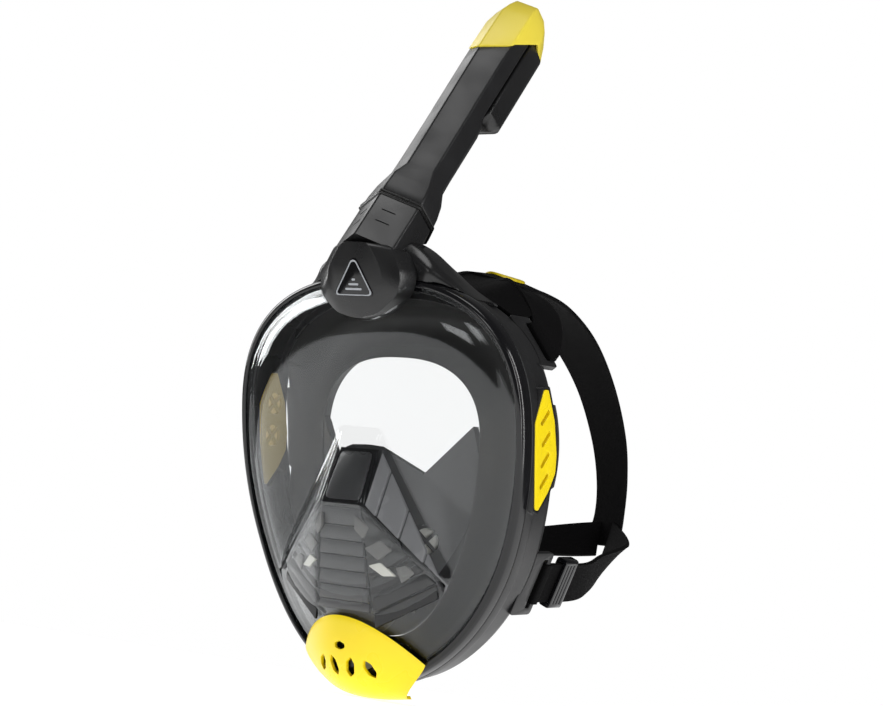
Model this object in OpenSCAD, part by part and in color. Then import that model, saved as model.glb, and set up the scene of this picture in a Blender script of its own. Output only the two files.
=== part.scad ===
// Full face snorkel mask: a clear domed lens in a rigid frame, a soft face skirt with a nose pocket,
// a rear-leaning snorkel with a dry top, and a webbing head strap.
// Axes: X to the wearer's left, Y to the back of the head, Z up.
// The origin is the centre of the face seal: the skirt's rear edge lies in the plane Y = 0,
// and Z = 0 is the lens's widest line. "Height" below means distance forward, towards -Y.

/* [Lens outline] */
// Half width of the lens rim
lens_half_w = 94; // [86:1:100]
// Height of the lens rim above its widest line
lens_top = 79; // [74:1:86]
// Depth of the lens rim below its widest line
lens_bottom = 140; // [132:1:148]
// Thickness of the lens
lens_t = 2.5; // [2:0.1:3]

/* [Frame] */
// Depth of the glossy bezel behind the rim
bezel_d = 8; // [7:0.5:10]
// Depth of the frame's back edge behind the rim
frame_d = 36; // [34:1:38]

/* [Skirt] */
// Half width of the face opening
opening_half_w = 55; // [50:1:58]
// Depth of the face opening below its middle
opening_drop = 112; // [106:1:114]
// Wall of the nose pocket
pocket_wall = 2; // [1.6:0.1:2.6]

/* [Snorkel] */
// Lean of the snorkel towards the back of the head, in degrees
snorkel_lean = 39; // [36:1:42]
// Radius of the bore that the snorkel plugs into
bore_r = 15.5; // [14.5:0.1:16]
// Length of the snorkel's spigot
spigot_len = 20; // [14:1:21]
// Wall of the snorkel tube
tube_wall = 1.8; // [1.4:0.1:2]

/* [Strap] */
// Width of the crown band
band_w = 42; // [36:1:46]
// Width of the lower webbing
web_w = 24; // [20:1:26]
// Thickness of the strap
strap_t = 2.4; // [1.8:0.1:2.6]

/* [Hidden] */
$fn = 48;

around = 72;            // steps round the rim
rim_top_power = 2.5;    // squareness of the rim's upper half
gap = 0.3;              // clearance between pieces that move
yellow = "#f6d911";
charcoal = "#3a3a3c";
gloss_black = "#141416";
clear_smoke = [0.75, 0.78, 0.8, 0.35];

// ---------- master surfaces ----------

function power(v, p) = sign(v) * pow(abs(v), p);

// Point [x, z] of the rim at angle t, moved outward by off
function rim(t, off = 0) = sin(t) > 0
    ? [(lens_half_w + off) * power(cos(t), 2 / rim_top_power),
       (lens_top + off) * power(sin(t), 2 / rim_top_power)]
    : [(lens_half_w + off) * cos(t), (lens_bottom + off) * sin(t)];

// Y of the rim, which leans back below and curves in under the chin
function rim_y(z) = -45 - 0.15 * z - 0.002 * pow(max(0, -z - 60), 2);

function smooth_max(a, b, k) = (a + b + sqrt((a - b) * (a - b) + k * k)) / 2;

// Facets of the lens's beak over the nose and mouth
function beak_nose(z) = 62 + 0.4 * (-10.6 - z);
function beak_front(z) = 75 - 0.2 * (-43.2 - z);
function beak_lower_side(x, z) = 88.46 - 0.4417 * abs(x) + 0.1663 * z;
function beak_upper_side(x, z) = 71.36 - 1.0035 * abs(x) - 0.4142 * z;
function beak(x, z) =
    min(beak_nose(z), beak_front(z), beak_lower_side(x, z), beak_upper_side(x, z));

// The domed window over the eyes
function window(x, z) = 59.5 + 0.15 * z - x * x / 840;

// Height of the lens at [x, z]: window and beak, chamfered down to the rim
function lens_height(x, z) =
    let (edge = rim_at(x, z), inward = norm(edge) - norm([x, z]))
    min(smooth_max(window(x, z), beak(x, z), 2), -rim_y(edge[1]) + 0.75 * inward);

// Rim point on the ray from the centre through [x, z]
function rim_at(x, z) =
    let (p = z > 0 ? rim_top_power : 2, d = z > 0 ? lens_top : lens_bottom,
         k = pow(pow(abs(x) / lens_half_w, p) + pow(abs(z) / d, p), -1 / p))
    norm([x, z]) < 0.01 ? [lens_half_w, 0] : [x * k, z * k];

// Curves that cut the lens: the chin cover's arch below, the socket's lobe above
chin_arch_z = -104.4;
chin_arch_bend = 0.0132;
lobe_low_z = 57;
lobe_bend = 0.0188;
function cut_share(p, z0, bend) =
    let (disc = p[1] * p[1] - 4 * bend * p[0] * p[0] * z0)
    disc < 0 ? 1 : min(1, 2 * z0 / (p[1] + sign(p[1]) * sqrt(disc)));
function lens_edge(t) =
    let (p = rim(t), s = p[1] > 0 ? cut_share(p, lobe_low_z, lobe_bend)
                       : p[1] < 0 ? cut_share(p, chin_arch_z, -chin_arch_bend) : 1)
    p * s;

// ---------- mesh helpers ----------

// Faces of rings of m points each, closed round the rings and along them
function closed_faces(n, m) = [for (i = [0:n - 1]) for (j = [0:m - 1]) each
    let (a = i * m + j, b = i * m + (j + 1) % m,
         c = ((i + 1) % n) * m + (j + 1) % m, d = ((i + 1) % n) * m + j)
    [[a, c, b], [a, d, c]]];

// A tube through rings of points, capped at both ends
module tube(rings) {
    n = len(rings);
    m = len(rings[0]);
    sides = [for (i = [0:n - 2]) for (j = [0:m - 1]) each
        let (a = i * m + j, b = i * m + (j + 1) % m, c = a + m, d = b + m)
        [[a, d, b], [a, c, d]]];
    ends = [for (j = [0:m - 1]) each let (k = (j + 1) % m)
        [[n * m, j, k], [n * m + 1, (n - 1) * m + k, (n - 1) * m + j]]];
    polyhedron(concat([for (r = rings) each r], [middle(rings[0]), middle(rings[n - 1])]),
        concat(sides, ends), convexity = 8);
}

// Middle of a ring's box
function middle(ring) = [for (a = [0:2]) let (v = [for (p = ring) p[a]]) (min(v) + max(v)) / 2];

// A plate between two grids of points, the front one and the back one
module plate(front, back) {
    n = len(front);
    m = len(front[0]);
    far = n * m;
    skins = [for (i = [0:n - 2]) for (j = [0:m - 2]) each
        let (a = i * m + j, b = a + 1, c = a + m, d = b + m)
        [[a, b, d], [a, d, c], [far + a, far + d, far + b], [far + a, far + c, far + d]]];
    function wall(a, b) = [[a, far + a, far + b], [a, far + b, b]];
    sides = concat(
        [for (j = [0:m - 2]) each wall(j, j + 1)],
        [for (j = [0:m - 2]) each wall((n - 1) * m + j + 1, (n - 1) * m + j)],
        [for (i = [0:n - 2]) each wall((i + 1) * m, i * m)],
        [for (i = [0:n - 2]) each wall(i * m + m - 1, (i + 1) * m + m - 1)]);
    points = concat([for (r = front) each r], [for (r = back) each r]);
    polyhedron(points, concat(skins, sides), convexity = 8);
}

// A closed loop of rings, such as a frame that goes all the way round
module loop(rings) {
    polyhedron([for (r = rings) each r], closed_faces(len(rings), len(rings[0])), convexity = 8);
}

// A profile of [outward, back] points swept round the rim
module rim_sweep(profile) {
    loop([for (i = [0:around - 1]) let (t = i * 360 / around, y0 = rim_y(rim(t)[1]))
        [for (q = profile) let (p = rim(t, q[0])) [p[0], y0 + q[1], p[1]]]]);
}

// A shell whose skins are the rings front and back, each list running from its middle point outwards
module shell(front, back, middle_front, middle_back) {
    n = len(front);
    m = len(front[0]);
    mid_front = 2 * n * m;
    mid_back = mid_front + 1;
    rings = concat(front, [for (i = [n - 1:-1:0]) back[i]]);
    sides = [for (i = [0:2 * n - 2]) for (j = [0:m - 1]) each
        let (a = i * m + j, b = i * m + (j + 1) % m, c = a + m, d = b + m)
        [[a, b, d], [a, d, c]]];
    caps = [for (j = [0:m - 1]) each let (k = (j + 1) % m)
        [[mid_front, k, j], [mid_back, (2 * n - 1) * m + j, (2 * n - 1) * m + k]]];
    polyhedron(concat([for (r = rings) each r], [middle_front, middle_back]),
        concat(sides, caps), convexity = 10);
}

// Copies children to the wearer's right
module right_side() {
    mirror([1, 0, 0]) children();
}

// ---------- lens, bezel and frame ----------

lens_rings = 14;
function lens_skin(sink) = [for (k = [1:lens_rings]) let (share = k / lens_rings)
    [for (i = [0:around - 1]) let (p = lens_edge(i * 360 / around) * share)
        [p[0], sink - lens_height(p[0], p[1]), p[1]]]];

module lens() {
    color(clear_smoke) shell(lens_skin(0), lens_skin(lens_t),
        [0, -lens_height(0, 0), 0], [0, lens_t - lens_height(0, 0), 0]);
}

// The space that the bezel and the frame fill round the rim, for cutting what fits round it
module frame_space() {
    rim_sweep([
        [-3, -1.8], [2.4, -1.8], [5.15, 1.2], [5.15, bezel_d + 0.2], [4.95, 16.1], [3.35, 18.1],
        [3.15, frame_d - 4.9], [1.35, frame_d + 0.1], [-3, frame_d + 0.1]]);
}

module bezel() {
    color(gloss_black) rim_sweep([
        [0.2, -0.8], [1.6, -1.4], [3.4, -0.4], [4.4, 2], [5, bezel_d],
        [2.6, bezel_d], [2.4, 4.6], [-2.5, 4.6], [-2.5, 2.8], [0.2, 2.8]]);
}

// Lozenge outline of a side vent cover, as [y, z]
vent_outline = [
    [-24, 27], [-15, 10], [-10.5, -8], [-10.5, -18], [-16, -28], [-25.5, -39],
    [-29, -38], [-31.5, -19], [-35, 8], [-28.5, 26.5]];
module vent_prism(x0, x1, grow = 0) {
    translate([x0, 0, 0]) rotate([90, 0, 90]) linear_extrude(x1 - x0)
        offset(delta = grow) polygon(vent_outline);
}
vent_valve_y = -23.8;
vent_valve_z = [9, -10];

module frame() {
    color(charcoal) difference() {
        union() {
            rim_sweep([
                [5, bezel_d + 0.1], [4.8, 16], [3.2, 18], [3, frame_d - 5], [1.2, frame_d],
                [-1, frame_d], [0.8, frame_d - 5], [0.8, 18], [2.4, 16], [2.6, bezel_d + 0.1]]);
            for (side = [0, 1]) mirror([side, 0, 0]) vent_prism(93, 98.8, 1.7);
        }
        for (side = [0, 1]) mirror([side, 0, 0]) vent_prism(85, 102, 0.3);
        air_passages();
    }
}

module inner_frame() {
    color(gloss_black) difference() {
        rim_sweep([
            [2.1, 4.9], [2.1, bezel_d], [0.5, 18], [0.5, frame_d - 9], [-6, frame_d - 11.3],
            [-6, frame_d - 13.3], [-1.6, frame_d - 11.7], [-1.6, 18], [-2.4, 4.9]]);
        for (side = [0, 1]) mirror([side, 0, 0]) vent_prism(85, 102, 1.8);
        air_passages();
    }
}

// Holes that join the snorkel socket to the inside of the mask
air_y = -42;
module air_passages() {
    for (x = [-17, 0, 17]) translate([x, air_y, 70]) cylinder(r = 5.5, h = 31);
}

// ---------- skirt ----------

// Edge of the face opening at angle t
opening_z = -6;
opening_rise = 46;
function opening(t) = sin(t) > 0
    ? [opening_half_w * power(cos(t), 0.8), opening_z + opening_rise * power(sin(t), 0.8)]
    : [opening_half_w * cos(t), opening_z + opening_drop * sin(t)];

// Profile of the skirt: share of the way from frame to opening, and Y from clamp y0 to lip y1
function skirt_profile(y0, y1) = [
    [0, y0 + 1.2], [0.1, max(-7, y0 + 1)], [0.25, -1.5], [0.42, 0], [0.6, -0.6], [0.8, -6], [1, y1 + 1],
    [1, y1 - 1], [0.78, -8.6], [0.6, -3], [0.42, -2.4], [0.27, -4], [0.13, max(-9.6, y0 - 1)], [0, y0 - 1.2]];

// Y of the skirt's clamped edge, which passes behind the side vents
vent_mid_z = -4;
vent_reach = 42;
function skirt_clamp(z) =
    rim_y(z) + frame_d - 8.4 + 13 * pow(max(0, 1 - pow((z - vent_mid_z) / vent_reach, 2)), 0.7);

module skirt() {
    color([0.12, 0.12, 0.13]) loop([for (i = [0:around - 1])
        let (t = i * 360 / around, a = rim(t, -4), b = opening(t),
             y0 = skirt_clamp(rim(t)[1]), y1 = -21 - 5 * max(0, sin(t)) + 6 * max(0, -sin(t)))
        [for (q = skirt_profile(y0, y1)) let (p = a + (b - a) * q[0]) [p[0], q[1], p[1]]]]);
}

// ---------- nose pocket and the grille in front of it ----------

pocket_side = [
    [0, -10.5], [9, -11], [14, -13], [30, -24.5], [52.5, 4],
    [57, -32], [54, -66], [44, -92], [24, -116], [0, -122]];
pocket_mid = [0, -62];
pocket_back = 12;       // height of the pocket's rear edge
pocket_lip = 5;         // depth of its edge over the nose and cheeks, where it has no side wall
pocket_inset = 10;      // how far the pocket lies behind the lens's beak

// The outline both sides, with extra points along each edge
function both_sides(half) = concat(half, [for (i = [len(half) - 2:-1:1]) [-half[i][0], half[i][1]]]);
function subdivide(path, n) = [for (i = [0:len(path) - 1]) for (k = [0:n - 1])
    path[i] + (path[(i + 1) % len(path)] - path[i]) * k / n];

// Side panels of the pocket, and the webs from them to the skirt under the eyes
function pocket_panel(x, z) = 66.2 - 1.122 * abs(x) - 0.15 * z;
function cheek_web(x, z) = 63.9 - 0.763 * abs(x) + 0.19 * z;
function pocket_height(x, z) = max(pocket_back + 1,
    min(lens_height(x, z) - pocket_inset, max(pocket_panel(x, z), cheek_web(x, z))));

// Pulls a point in to just inside the lower face opening
opening_gap = 0.4;
function inside_opening(p) =
    let (c = [0, opening_z], a = opening_half_w - opening_gap, b = opening_drop - opening_gap,
         k = norm([(p[0] - c[0]) / a, (p[1] - c[1]) / b]))
    k > 1 ? c + (p - c) / k : p;

// Height of the pocket's rear edge at an outline point: shallow above, deep round the mouth
function pocket_foot(p) =
    let (lip = max(pocket_back, pocket_height(p[0], p[1]) - pocket_lip),
         share = min(1, max(0, (p[1] + 60) / 30)))
    pocket_back + (lip - pocket_back) * share;

pocket_rings = 9;
function pocket_skin(sink, pull) =
    let (edge = [for (p = subdivide(both_sides(pocket_side), 3)) inside_opening(p)])
    concat([for (k = [1:pocket_rings]) [for (e = edge)
        let (p = pocket_mid + (e - pocket_mid) * (1 - pull) * k / pocket_rings)
        [p[0], sink - pocket_height(p[0], p[1]), p[1]]]],
        [[for (e = edge) let (p = pocket_mid + (e - pocket_mid) * (1 - pull))
            [p[0], -pocket_foot(e), p[1]]]]);

function pocket_point(sink) =
    [pocket_mid[0], sink - pocket_height(pocket_mid[0], pocket_mid[1]), pocket_mid[1]];

module nose_pocket() {
    color([0.2, 0.2, 0.21]) difference() {
        reversed_shell(pocket_skin(0, 0), pocket_skin(pocket_wall, 0.035),
            pocket_point(0), pocket_point(pocket_wall));
        for (side = [0, 1]) mirror([side, 0, 0]) at_pocket_valve() cylinder(r = 9.05, h = 12, center = true);
    }
}

// A shell whose rings run clockwise seen from the front
module reversed_shell(front, back, middle_front, middle_back) {
    function turned(rings) = [for (r = rings) [for (i = [len(r) - 1:-1:0]) r[i]]];
    shell(turned(front), turned(back), middle_front, middle_back);
}

// Centre and outward axis of the one-way valve in the pocket's side panel
valve_x = 35;
valve_z = -61;
module at_pocket_valve() {
    translate([valve_x, -pocket_panel(valve_x, valve_z), valve_z]) rotate([0, 84, -42]) children();
}

// Ring with cross spokes that a flap closes
module spoked_seat(r, rim_w, h) {
    linear_extrude(h) {
        difference() {
            circle(r = r);
            circle(r = r - rim_w);
        }
        for (a = [0, 90]) rotate(a + 45) square([2 * r - rim_w, 1.6], center = true);
    }
}

module pocket_seat() {
    color("dimgray") at_pocket_valve() translate([0, 0, -1.8]) spoked_seat(9, 1.8, 2.6);
}

module pocket_flap() {
    color("lightgray") at_pocket_valve() translate([0, 0, -2.8]) cylinder(r = 8.2, h = 0.9);
}

module pocket_seat_left() { pocket_seat(); }
module pocket_seat_right() { right_side() pocket_seat(); }
module pocket_flap_left() { pocket_flap(); }
module pocket_flap_right() { right_side() pocket_flap(); }

grille_side = [[0, -13], [12, -13], [33, -50], [55, -84], [38, -99], [19, -98], [0, -97]];
grille_mid = [0, -60];
grille_inset = 4.2;     // how far the grille lies behind the beak
grille_t = 1.6;
function grille_point(p, sink) = [p[0], sink + grille_inset - lens_height(p[0], p[1]), p[1]];
function grille_skin(sink) =
    let (edge = subdivide(both_sides(grille_side), 3))
    [for (k = [1:8]) [for (e = edge) grille_point(grille_mid + (e - grille_mid) * (k / 8), sink)]];

module beak_grille() {
    color([0.28, 0.28, 0.3]) difference() {
        reversed_shell(grille_skin(0), grille_skin(grille_t),
            grille_point(grille_mid, 0), grille_point(grille_mid, grille_t));
        for (side = [1, -1]) for (k = [0:2])
            translate([side * (24 + 5 * k), -60, -64 - 11 * k]) rotate([0, side * 20, 0])
                cube([9 + 4 * k, 60, 5], center = true);
    }
}

// ---------- chin cover and purge valve ----------

cover_half_w = 42;
cover_foot = 0.57;      // share of its width left at the bottom edge
cover_low_z = -152;
cover_low_height = 22;
cover_across = 16;
cover_down = 8;
cover_heart = [0, -24, -116];

function cover_point(u, f) =
    let (x0 = cover_half_w * u, x = x0 * (1 - (1 - cover_foot) * pow(sin(f), 1.2)),
         z0 = chin_arch_z - chin_arch_bend * x0 * x0, h0 = 62.5 - 0.0141 * x0 * x0,
         z1 = cover_low_z + 0.004 * x * x)
    [x, -(cover_low_height + (h0 - cover_low_height) * pow(cos(f), 0.8)),
     z0 - 0.6 + (z1 - z0) * pow(sin(f), 0.8)];

function sunk(p, d) = p + d * (cover_heart - p) / norm(cover_heart - p);

module chin_cover() {
    outer = [for (k = [0:cover_down]) [for (i = [0:cover_across])
        cover_point(2 * i / cover_across - 1, 90 * k / cover_down)]];
    color(yellow) difference() {
        plate(outer, [for (row = outer) [for (p = row) sunk(p, 2.2)]]);
        for (side = [1, -1]) {
            cover_slot(side * 5.5, -133, side * 12, 5, 12);
            cover_slot(side * 16, -133, side * -24, 5, 11);
        }
        cover_slot(0, -121.5, 0, 7, 5);
        frame_space();
    }
}

// A lozenge slot through the chin cover
module cover_slot(x, z, turn, w, h) {
    translate([x, -70, z]) rotate([0, turn, 0]) rotate([-90, 0, 0]) linear_extrude(50)
        polygon([
            [0, h / 2], [w / 2, h / 5], [w / 2, -h / 4], [0, -h / 2], [-w / 2, -h / 4], [-w / 2, h / 5]]);
}

// Plate that closes the mask behind the chin cover, with the one-way purge valve in it
purge_z = -128;
purge_y = -33.9;
purge_r = 8.2;
module purge_seat() {
    half_w = 29;
    top = -118.8;
    color("dimgray") translate([0, purge_y, 0]) rotate([90, 0, 0]) {
        linear_extrude(3) difference() {
            intersection() {
                scale([1, (lens_bottom - 1) / (lens_half_w - 1)]) circle(r = lens_half_w - 1, $fn = 120);
                translate([-half_w, top - 40]) square([2 * half_w, 40]);
            }
            translate([0, purge_z]) circle(r = purge_r - 1);
        }
        translate([0, purge_z, 0]) spoked_seat(purge_r, 1.4, 3);
    }
}

module purge_flap() {
    color("lightgray") translate([0, purge_y - 3.1, purge_z]) rotate([90, 0, 0])
        cylinder(r = purge_r, h = 0.9);
}

// ---------- snorkel socket ----------

// Places children in the snorkel's own axes: z along the tube, -y its front ridge
axis_y = -39.4;
axis_z = 119.1;
module on_snorkel() {
    translate([0, axis_y, axis_z]) rotate([-snorkel_lean, 0, 0]) children();
}

// Section of the snorkel: front ridge at -f, corners at half width w, back at b
function snorkel_section(f, w, corner, side, b) =
    let (half = [[0, -f], [w / 2, -(f + corner) / 2], [w, -corner], [w, (side - corner) / 2], [w, side],
            [0.55 * w, b], [0, b]])
    concat(half, [for (i = [5:-1:1]) [-half[i][0], half[i][1]]]);
collar_section = snorkel_section(21, 20.5, 8.7, 8, 18);

module socket() {
    color(charcoal) difference() {
        union() {
            saddle();
            on_snorkel() translate([0, 0, -36]) linear_extrude(32) polygon(collar_section);
            lobe();
        }
        on_snorkel() translate([0, 0, -26]) cylinder(r = bore_r, h = 40);
        frame_space();
        air_passages();
    }
}

// The five-sided front of the socket, which fills the notch at the lens's top
face_lean = 9;          // lean of its front face, in degrees
face_low = [0, -72.4, 64];
module lobe() {
    hull() {
        translate([0, -59.4, 0]) rotate([90, 0, 0])
            half_plate([[0, 58], [16, 62], [29, 73], [31, 84], [24, 97]]);
        translate([0, -70, 0]) rotate([90, 0, 0])
            half_plate([[0, 58], [14, 61], [26, 71], [28, 82], [19, 99]]);
        on_face() half_plate([[0, 0], [12, 2], [19, 10], [18, 22], [9, 36]]);
    }
}

// Places children on the socket's front face: y up the face, z out of it
module on_face() {
    translate(face_low) rotate([90 + face_lean, 0, 0]) children();
}

// A thin plate, mirrored in X from its right half
module half_plate(half, t = 0.2) {
    mirrored = [for (i = [len(half) - 1:-1:1]) [-half[i][0], half[i][1]]];
    linear_extrude(t) polygon(concat(half, mirrored));
}

// The part of the socket that straddles the frame's top, from the angle saddle_from round to its mirror
saddle_from = 56;
saddle_base = 3.3;      // how far out of the rim it starts; the frame is cut out of it
function saddle_share(t) = pow(max(0, 1 - pow((t - 90) / 36, 2)), 4);
module saddle() {
    tube([for (t = [saddle_from:4:180 - saddle_from])
        let (y0 = rim_y(rim(t)[1]), share = saddle_share(t), h = 2 + 21.4 * share,
             lead = bezel_d + 0.5 - 9.5 * min(1, 2.5 * share))
        [for (q = [[0, lead], [0.7 * h, lead - 1], [h, lead + 4], [h, 18], [0.7 * h, 31], [0, 32]])
            let (p = rim(t, saddle_base + q[0])) [p[0], y0 + q[1], p[1]]]]);
}

badge_side = [[0, 6], [12.2, 6], [13.3, 7.6], [1.6, 27], [0, 27.6]];
module socket_badge() {
    color("silver") on_face() translate([0, 0, 0.3]) half_plate(badge_side, 0.9);
}

screw_x = 22;
module socket_screws() {
    color("silver") for (side = [1, -1]) translate([side * screw_x, -23.6, 90]) rotate([-90, 0, 0])
        cylinder(r = 2.4, h = 1.6);
}

module socket_seal() {
    color([0.07, 0.07, 0.07]) on_snorkel() translate([0, 0, -3.7]) difference() {
        linear_extrude(3.4) polygon([for (p = collar_section) p * 1.06]);
        translate([0, 0, -1]) cylinder(r = bore_r + 0.2, h = 6);
    }
}

// ---------- snorkel ----------

// Lower edge of the yellow cap at each of the section's twelve points
cap_edge_half = [128.5, 134.5, 137, 158, 160, 160, 160];
// and the tube's end, which lies under the cap at the back
tube_edge_half = [128.5, 134.5, 137, 146, 157, 159, 159];
function all_round(half) = concat(half, [for (i = [5:-1:1]) half[i]]);

// [z, front, half width, corner, side, back] of the tube's rings
tube_rings = [
    [0, 21.2, 20.7, 8.8, 8, 18], [6, 21, 20.4, 8.8, 8, 18], [15, 20.6, 19, 8.7, 7, 17],
    [27, 16, 15.2, 8.5, 5, 13.4], [40, 16, 15, 8.5, 5, 13], [80, 16.8, 15, 8.8, 5, 13],
    [84, 16.9, 15, 9, 2, 4.6], [124, 17.6, 15.2, 9.5, 2, 4.6]];

// Section of a row [z, front, half width, corner, side, back], made smaller all round by shrink
function outline_of(row, shrink) = snorkel_section(row[1] - shrink * 1.2, row[2] - shrink,
    row[3] - shrink * 0.4, row[4] - shrink * 0.4, row[5] - shrink);
function ring_of(row, shrink = 0) = [for (p = outline_of(row, shrink)) [p[0], p[1], row[0]]];
// The same ring, but ending along an uneven edge
function edge_ring(row, shrink, edge) = [for (i = [0:11])
    let (p = outline_of(row, shrink)[i]) [p[0], p[1], edge[i]]];

module snorkel_tube() {
    top = tube_rings[len(tube_rings) - 1];
    edge = [for (z = all_round(tube_edge_half)) z - gap];
    color("dimgray") on_snorkel() {
        loop(concat([for (row = tube_rings) ring_of(row)],
            [edge_ring(top, 0, edge), edge_ring(top, tube_wall, edge)],
            [for (i = [len(tube_rings) - 1:-1:1]) ring_of(tube_rings[i], tube_wall)],
            [[for (a = [0:11]) let (b = a * 30 - 90) [12.4 * cos(b), 12.4 * sin(b), 0]]]));
        translate([0, 0, -spigot_len]) difference() {
            cylinder(r = bore_r - 0.05, h = spigot_len + 0.5);
            translate([0, 0, -1]) cylinder(r = bore_r - 2, h = spigot_len + 3);
        }
    }
}

module tube_divider() {
    color([0.15, 0.15, 0.15]) on_snorkel() translate([-12.8, -0.6, 8]) cube([25.6, 1.2, 112]);
}

housing_y = 14.2;       // centre of the float chamber behind the tube
chamber_r = 7.8;
float_z = 98;           // where the float rests
module float_housing() {
    color(charcoal) on_snorkel() difference() {
        hull() {
            for (x = [-6.5, 6.5]) translate([x, 17, 97]) cylinder(r = 7, h = 62, $fn = 32);
            for (x = [-12.5, 12.5]) translate([x, 6.4, 95]) cylinder(r = 1.4, h = 64, $fn = 16);
            translate([-9, 7, 90]) cube([18, 9, 10]);
        }
        translate([0, housing_y, float_z - 2]) cylinder(r = chamber_r, h = 80);
        for (k = [0:4]) translate([-5, 20, 104 + 10.5 * k]) cube([10, 8, 5]);
    }
}

module float() {
    color("ivory") on_snorkel() translate([0, housing_y, float_z]) cylinder(r = chamber_r - 0.6, h = 40);
}

module float_seal() {
    color([0.1, 0.1, 0.1]) on_snorkel() translate([0, housing_y, float_z + 40])
        cylinder(r = chamber_r - 1.2, h = 3);
}

// The yellow top, a chisel shape over the tube and the float chamber
cap_wall = 1.6;
cap_base = [0, 18.6, 15.9, 10, 9, 24.6];
cap_rings = [[163, 18.2, 15.8, 9.6, 9, 25], [173, 15, 14.6, 8, 8, 21], [179.5, 12, 12.4, 5, 5, 14]];
module dry_top_cap() {
    edge = all_round(cap_edge_half);
    outer = concat([edge_ring(cap_base, 0, edge)], [for (row = cap_rings) ring_of(row)]);
    inner = concat([edge_ring(cap_base, cap_wall, edge)],
        [for (row = cap_rings) ring_of(row - [cap_wall, 0, 0, 0, 0, 0], cap_wall)]);
    color(yellow) on_snorkel() cup(outer, inner);
}

// A cup: outer rings up from its open mouth, inner rings of the same count, closed at the top
module cup(outer, inner) {
    tube(concat([for (i = [len(outer) - 1:-1:0]) outer[i]], inner));
}

// ---------- side vents ----------

vent_slots = [-25, -22.5, -22, -21.5];  // Y of the slots' middles, from the top
module vent_cover() {
    color(yellow) difference() {
        vent_prism(95.6, 98.6);
        for (k = [0:3]) translate([97, vent_slots[k], 11.5 - 11.4 * k]) rotate([-42, 0, 0])
            cube([8, 2.4, 11], center = true);
    }
}
module vent_cover_left() { vent_cover(); }
module vent_cover_right() { right_side() vent_cover(); }

module side_valve_seat() {
    color("dimgray") {
        difference() {
            vent_prism(90.6, 92.6);
            for (z = vent_valve_z) translate([80, vent_valve_y, z]) rotate([0, 90, 0])
                cylinder(r = 7, h = 20);
        }
        for (z = vent_valve_z) translate([90.6, vent_valve_y, z]) rotate([0, 90, 0]) spoked_seat(7.4, 1, 2);
    }
}
module side_valve_seat_left() { side_valve_seat(); }
module side_valve_seat_right() { right_side() side_valve_seat(); }

module side_flap(z) {
    color("goldenrod") translate([92.7, vent_valve_y, z]) rotate([0, 90, 0]) cylinder(r = 8, h = 0.9);
}
module side_flap_left_upper() { side_flap(vent_valve_z[0]); }
module side_flap_left_lower() { side_flap(vent_valve_z[1]); }
module side_flap_right_upper() { right_side() side_flap(vent_valve_z[0]); }
module side_flap_right_lower() { right_side() side_flap(vent_valve_z[1]); }

// ---------- strap ----------

// Slotted lug behind the frame: centre, tilt about Y, half length
upper_lug = [[79, -9.5, 52.5], -38, 17];
lower_lug = [[78.2, 9.5, -80], 21, 19];
lug_t = 3.2;
lug_back = 6.5;         // from its centre to its back edge
lug_bar = 3.7;          // depth of the bar that the strap loops round
module at_lug(place) {
    translate(place[0]) rotate([0, place[1], 0]) children();
}
module lug(place) {
    color(charcoal) difference() {
        at_lug(place) difference() {
            translate([-lug_t / 2, -14, -place[2]]) cube([lug_t, 14 + lug_back, 2 * place[2]]);
            translate([-lug_t, -1.6, -place[2] + 4])
                cube([2 * lug_t, lug_back - lug_bar + 1.6, 2 * place[2] - 8]);
        }
        frame_space();
    }
}
// Webbing looped round the lug's bar
loop_t = 1.3;
module strap_loop(place, width) {
    at_lug(place) translate([0, lug_back - lug_bar / 2, -width / 2]) linear_extrude(width) difference() {
        offset(r = gap + loop_t) square([lug_t, lug_bar], center = true);
        offset(delta = gap) square([lug_t, lug_bar], center = true);
    }
}
module upper_clip_left() { lug(upper_lug); }
module upper_clip_right() { right_side() lug(upper_lug); }
module lower_clip_left() { lug(lower_lug); }
module lower_clip_right() { right_side() lug(lower_lug); }

// Rows of a band: [centre, direction across it, width]
function between(a, b) = [(a + b) / 2, b - a, norm(b - a)];
// Half of the crown band: [y, z of its middle line, half width, z of its edge]
crown_line = [
    [34, 95.5, 33, 88.5], [58, 96.5, 25, 88.85], [90, 95, 21, 88.55], [125, 84.5, 19, 82], [162, 66, 17, 65],
    [194, 38, 14.5, 38], [216, 6, 13, 6], [225, -22, 11.5, -22], [225, -46, 11, -46], [218, -66, 13, -66]];
crown_rows = [for (r = crown_line) between([-0.5, r[0], r[1]], [r[2], r[0], r[3]])];
upper_rows = [
    [[79, -2.2, 52.5], [-0.616, 0, 0.788], 25], [[73, 7, 61], [-0.62, -0.1, 0.78], 34],
    [[56, 24, 77], [-0.5, -0.55, 0.55], 40], [[38, 38, 85], [-0.3, -0.9, 0.25], 40],
    [[18, 46, 90.5], [0, -1, 0], 30]];
lower_rows = [
    [[78.2, 16.7, -80], [0.358, 0, 0.934], web_w], [[78.2, 58, -80], [0.358, 0, 0.934], web_w],
    [[73, 84, -76], [0.3, 0.15, 0.92], web_w], [[58, 128, -71], [0.5, 0.3, 0.75], web_w],
    [[34, 174, -67], [0.6, 0.4, 0.6], web_w], [[4, 219.4, -62], [0.1, 0.33, 0.94], web_w]];
// The wide front of the strap, from behind the frame to the upper arm and the crown
shoulder_rows = [
    between([67.6, 2.5, 67.8], [66, -16.5, 66.2]), between([62.8, 6.5, 73.2], [58, -17.5, 71]),
    between([46.5, 13.5, 87.2], [46, -18, 76.5]), between([32.5, 22, 89.3], [32, -18, 79.8]),
    between([16, 36, 91.8], [15, -18, 82]), between([-2, 36, 95.3], [-2, -18, 83])];

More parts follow.
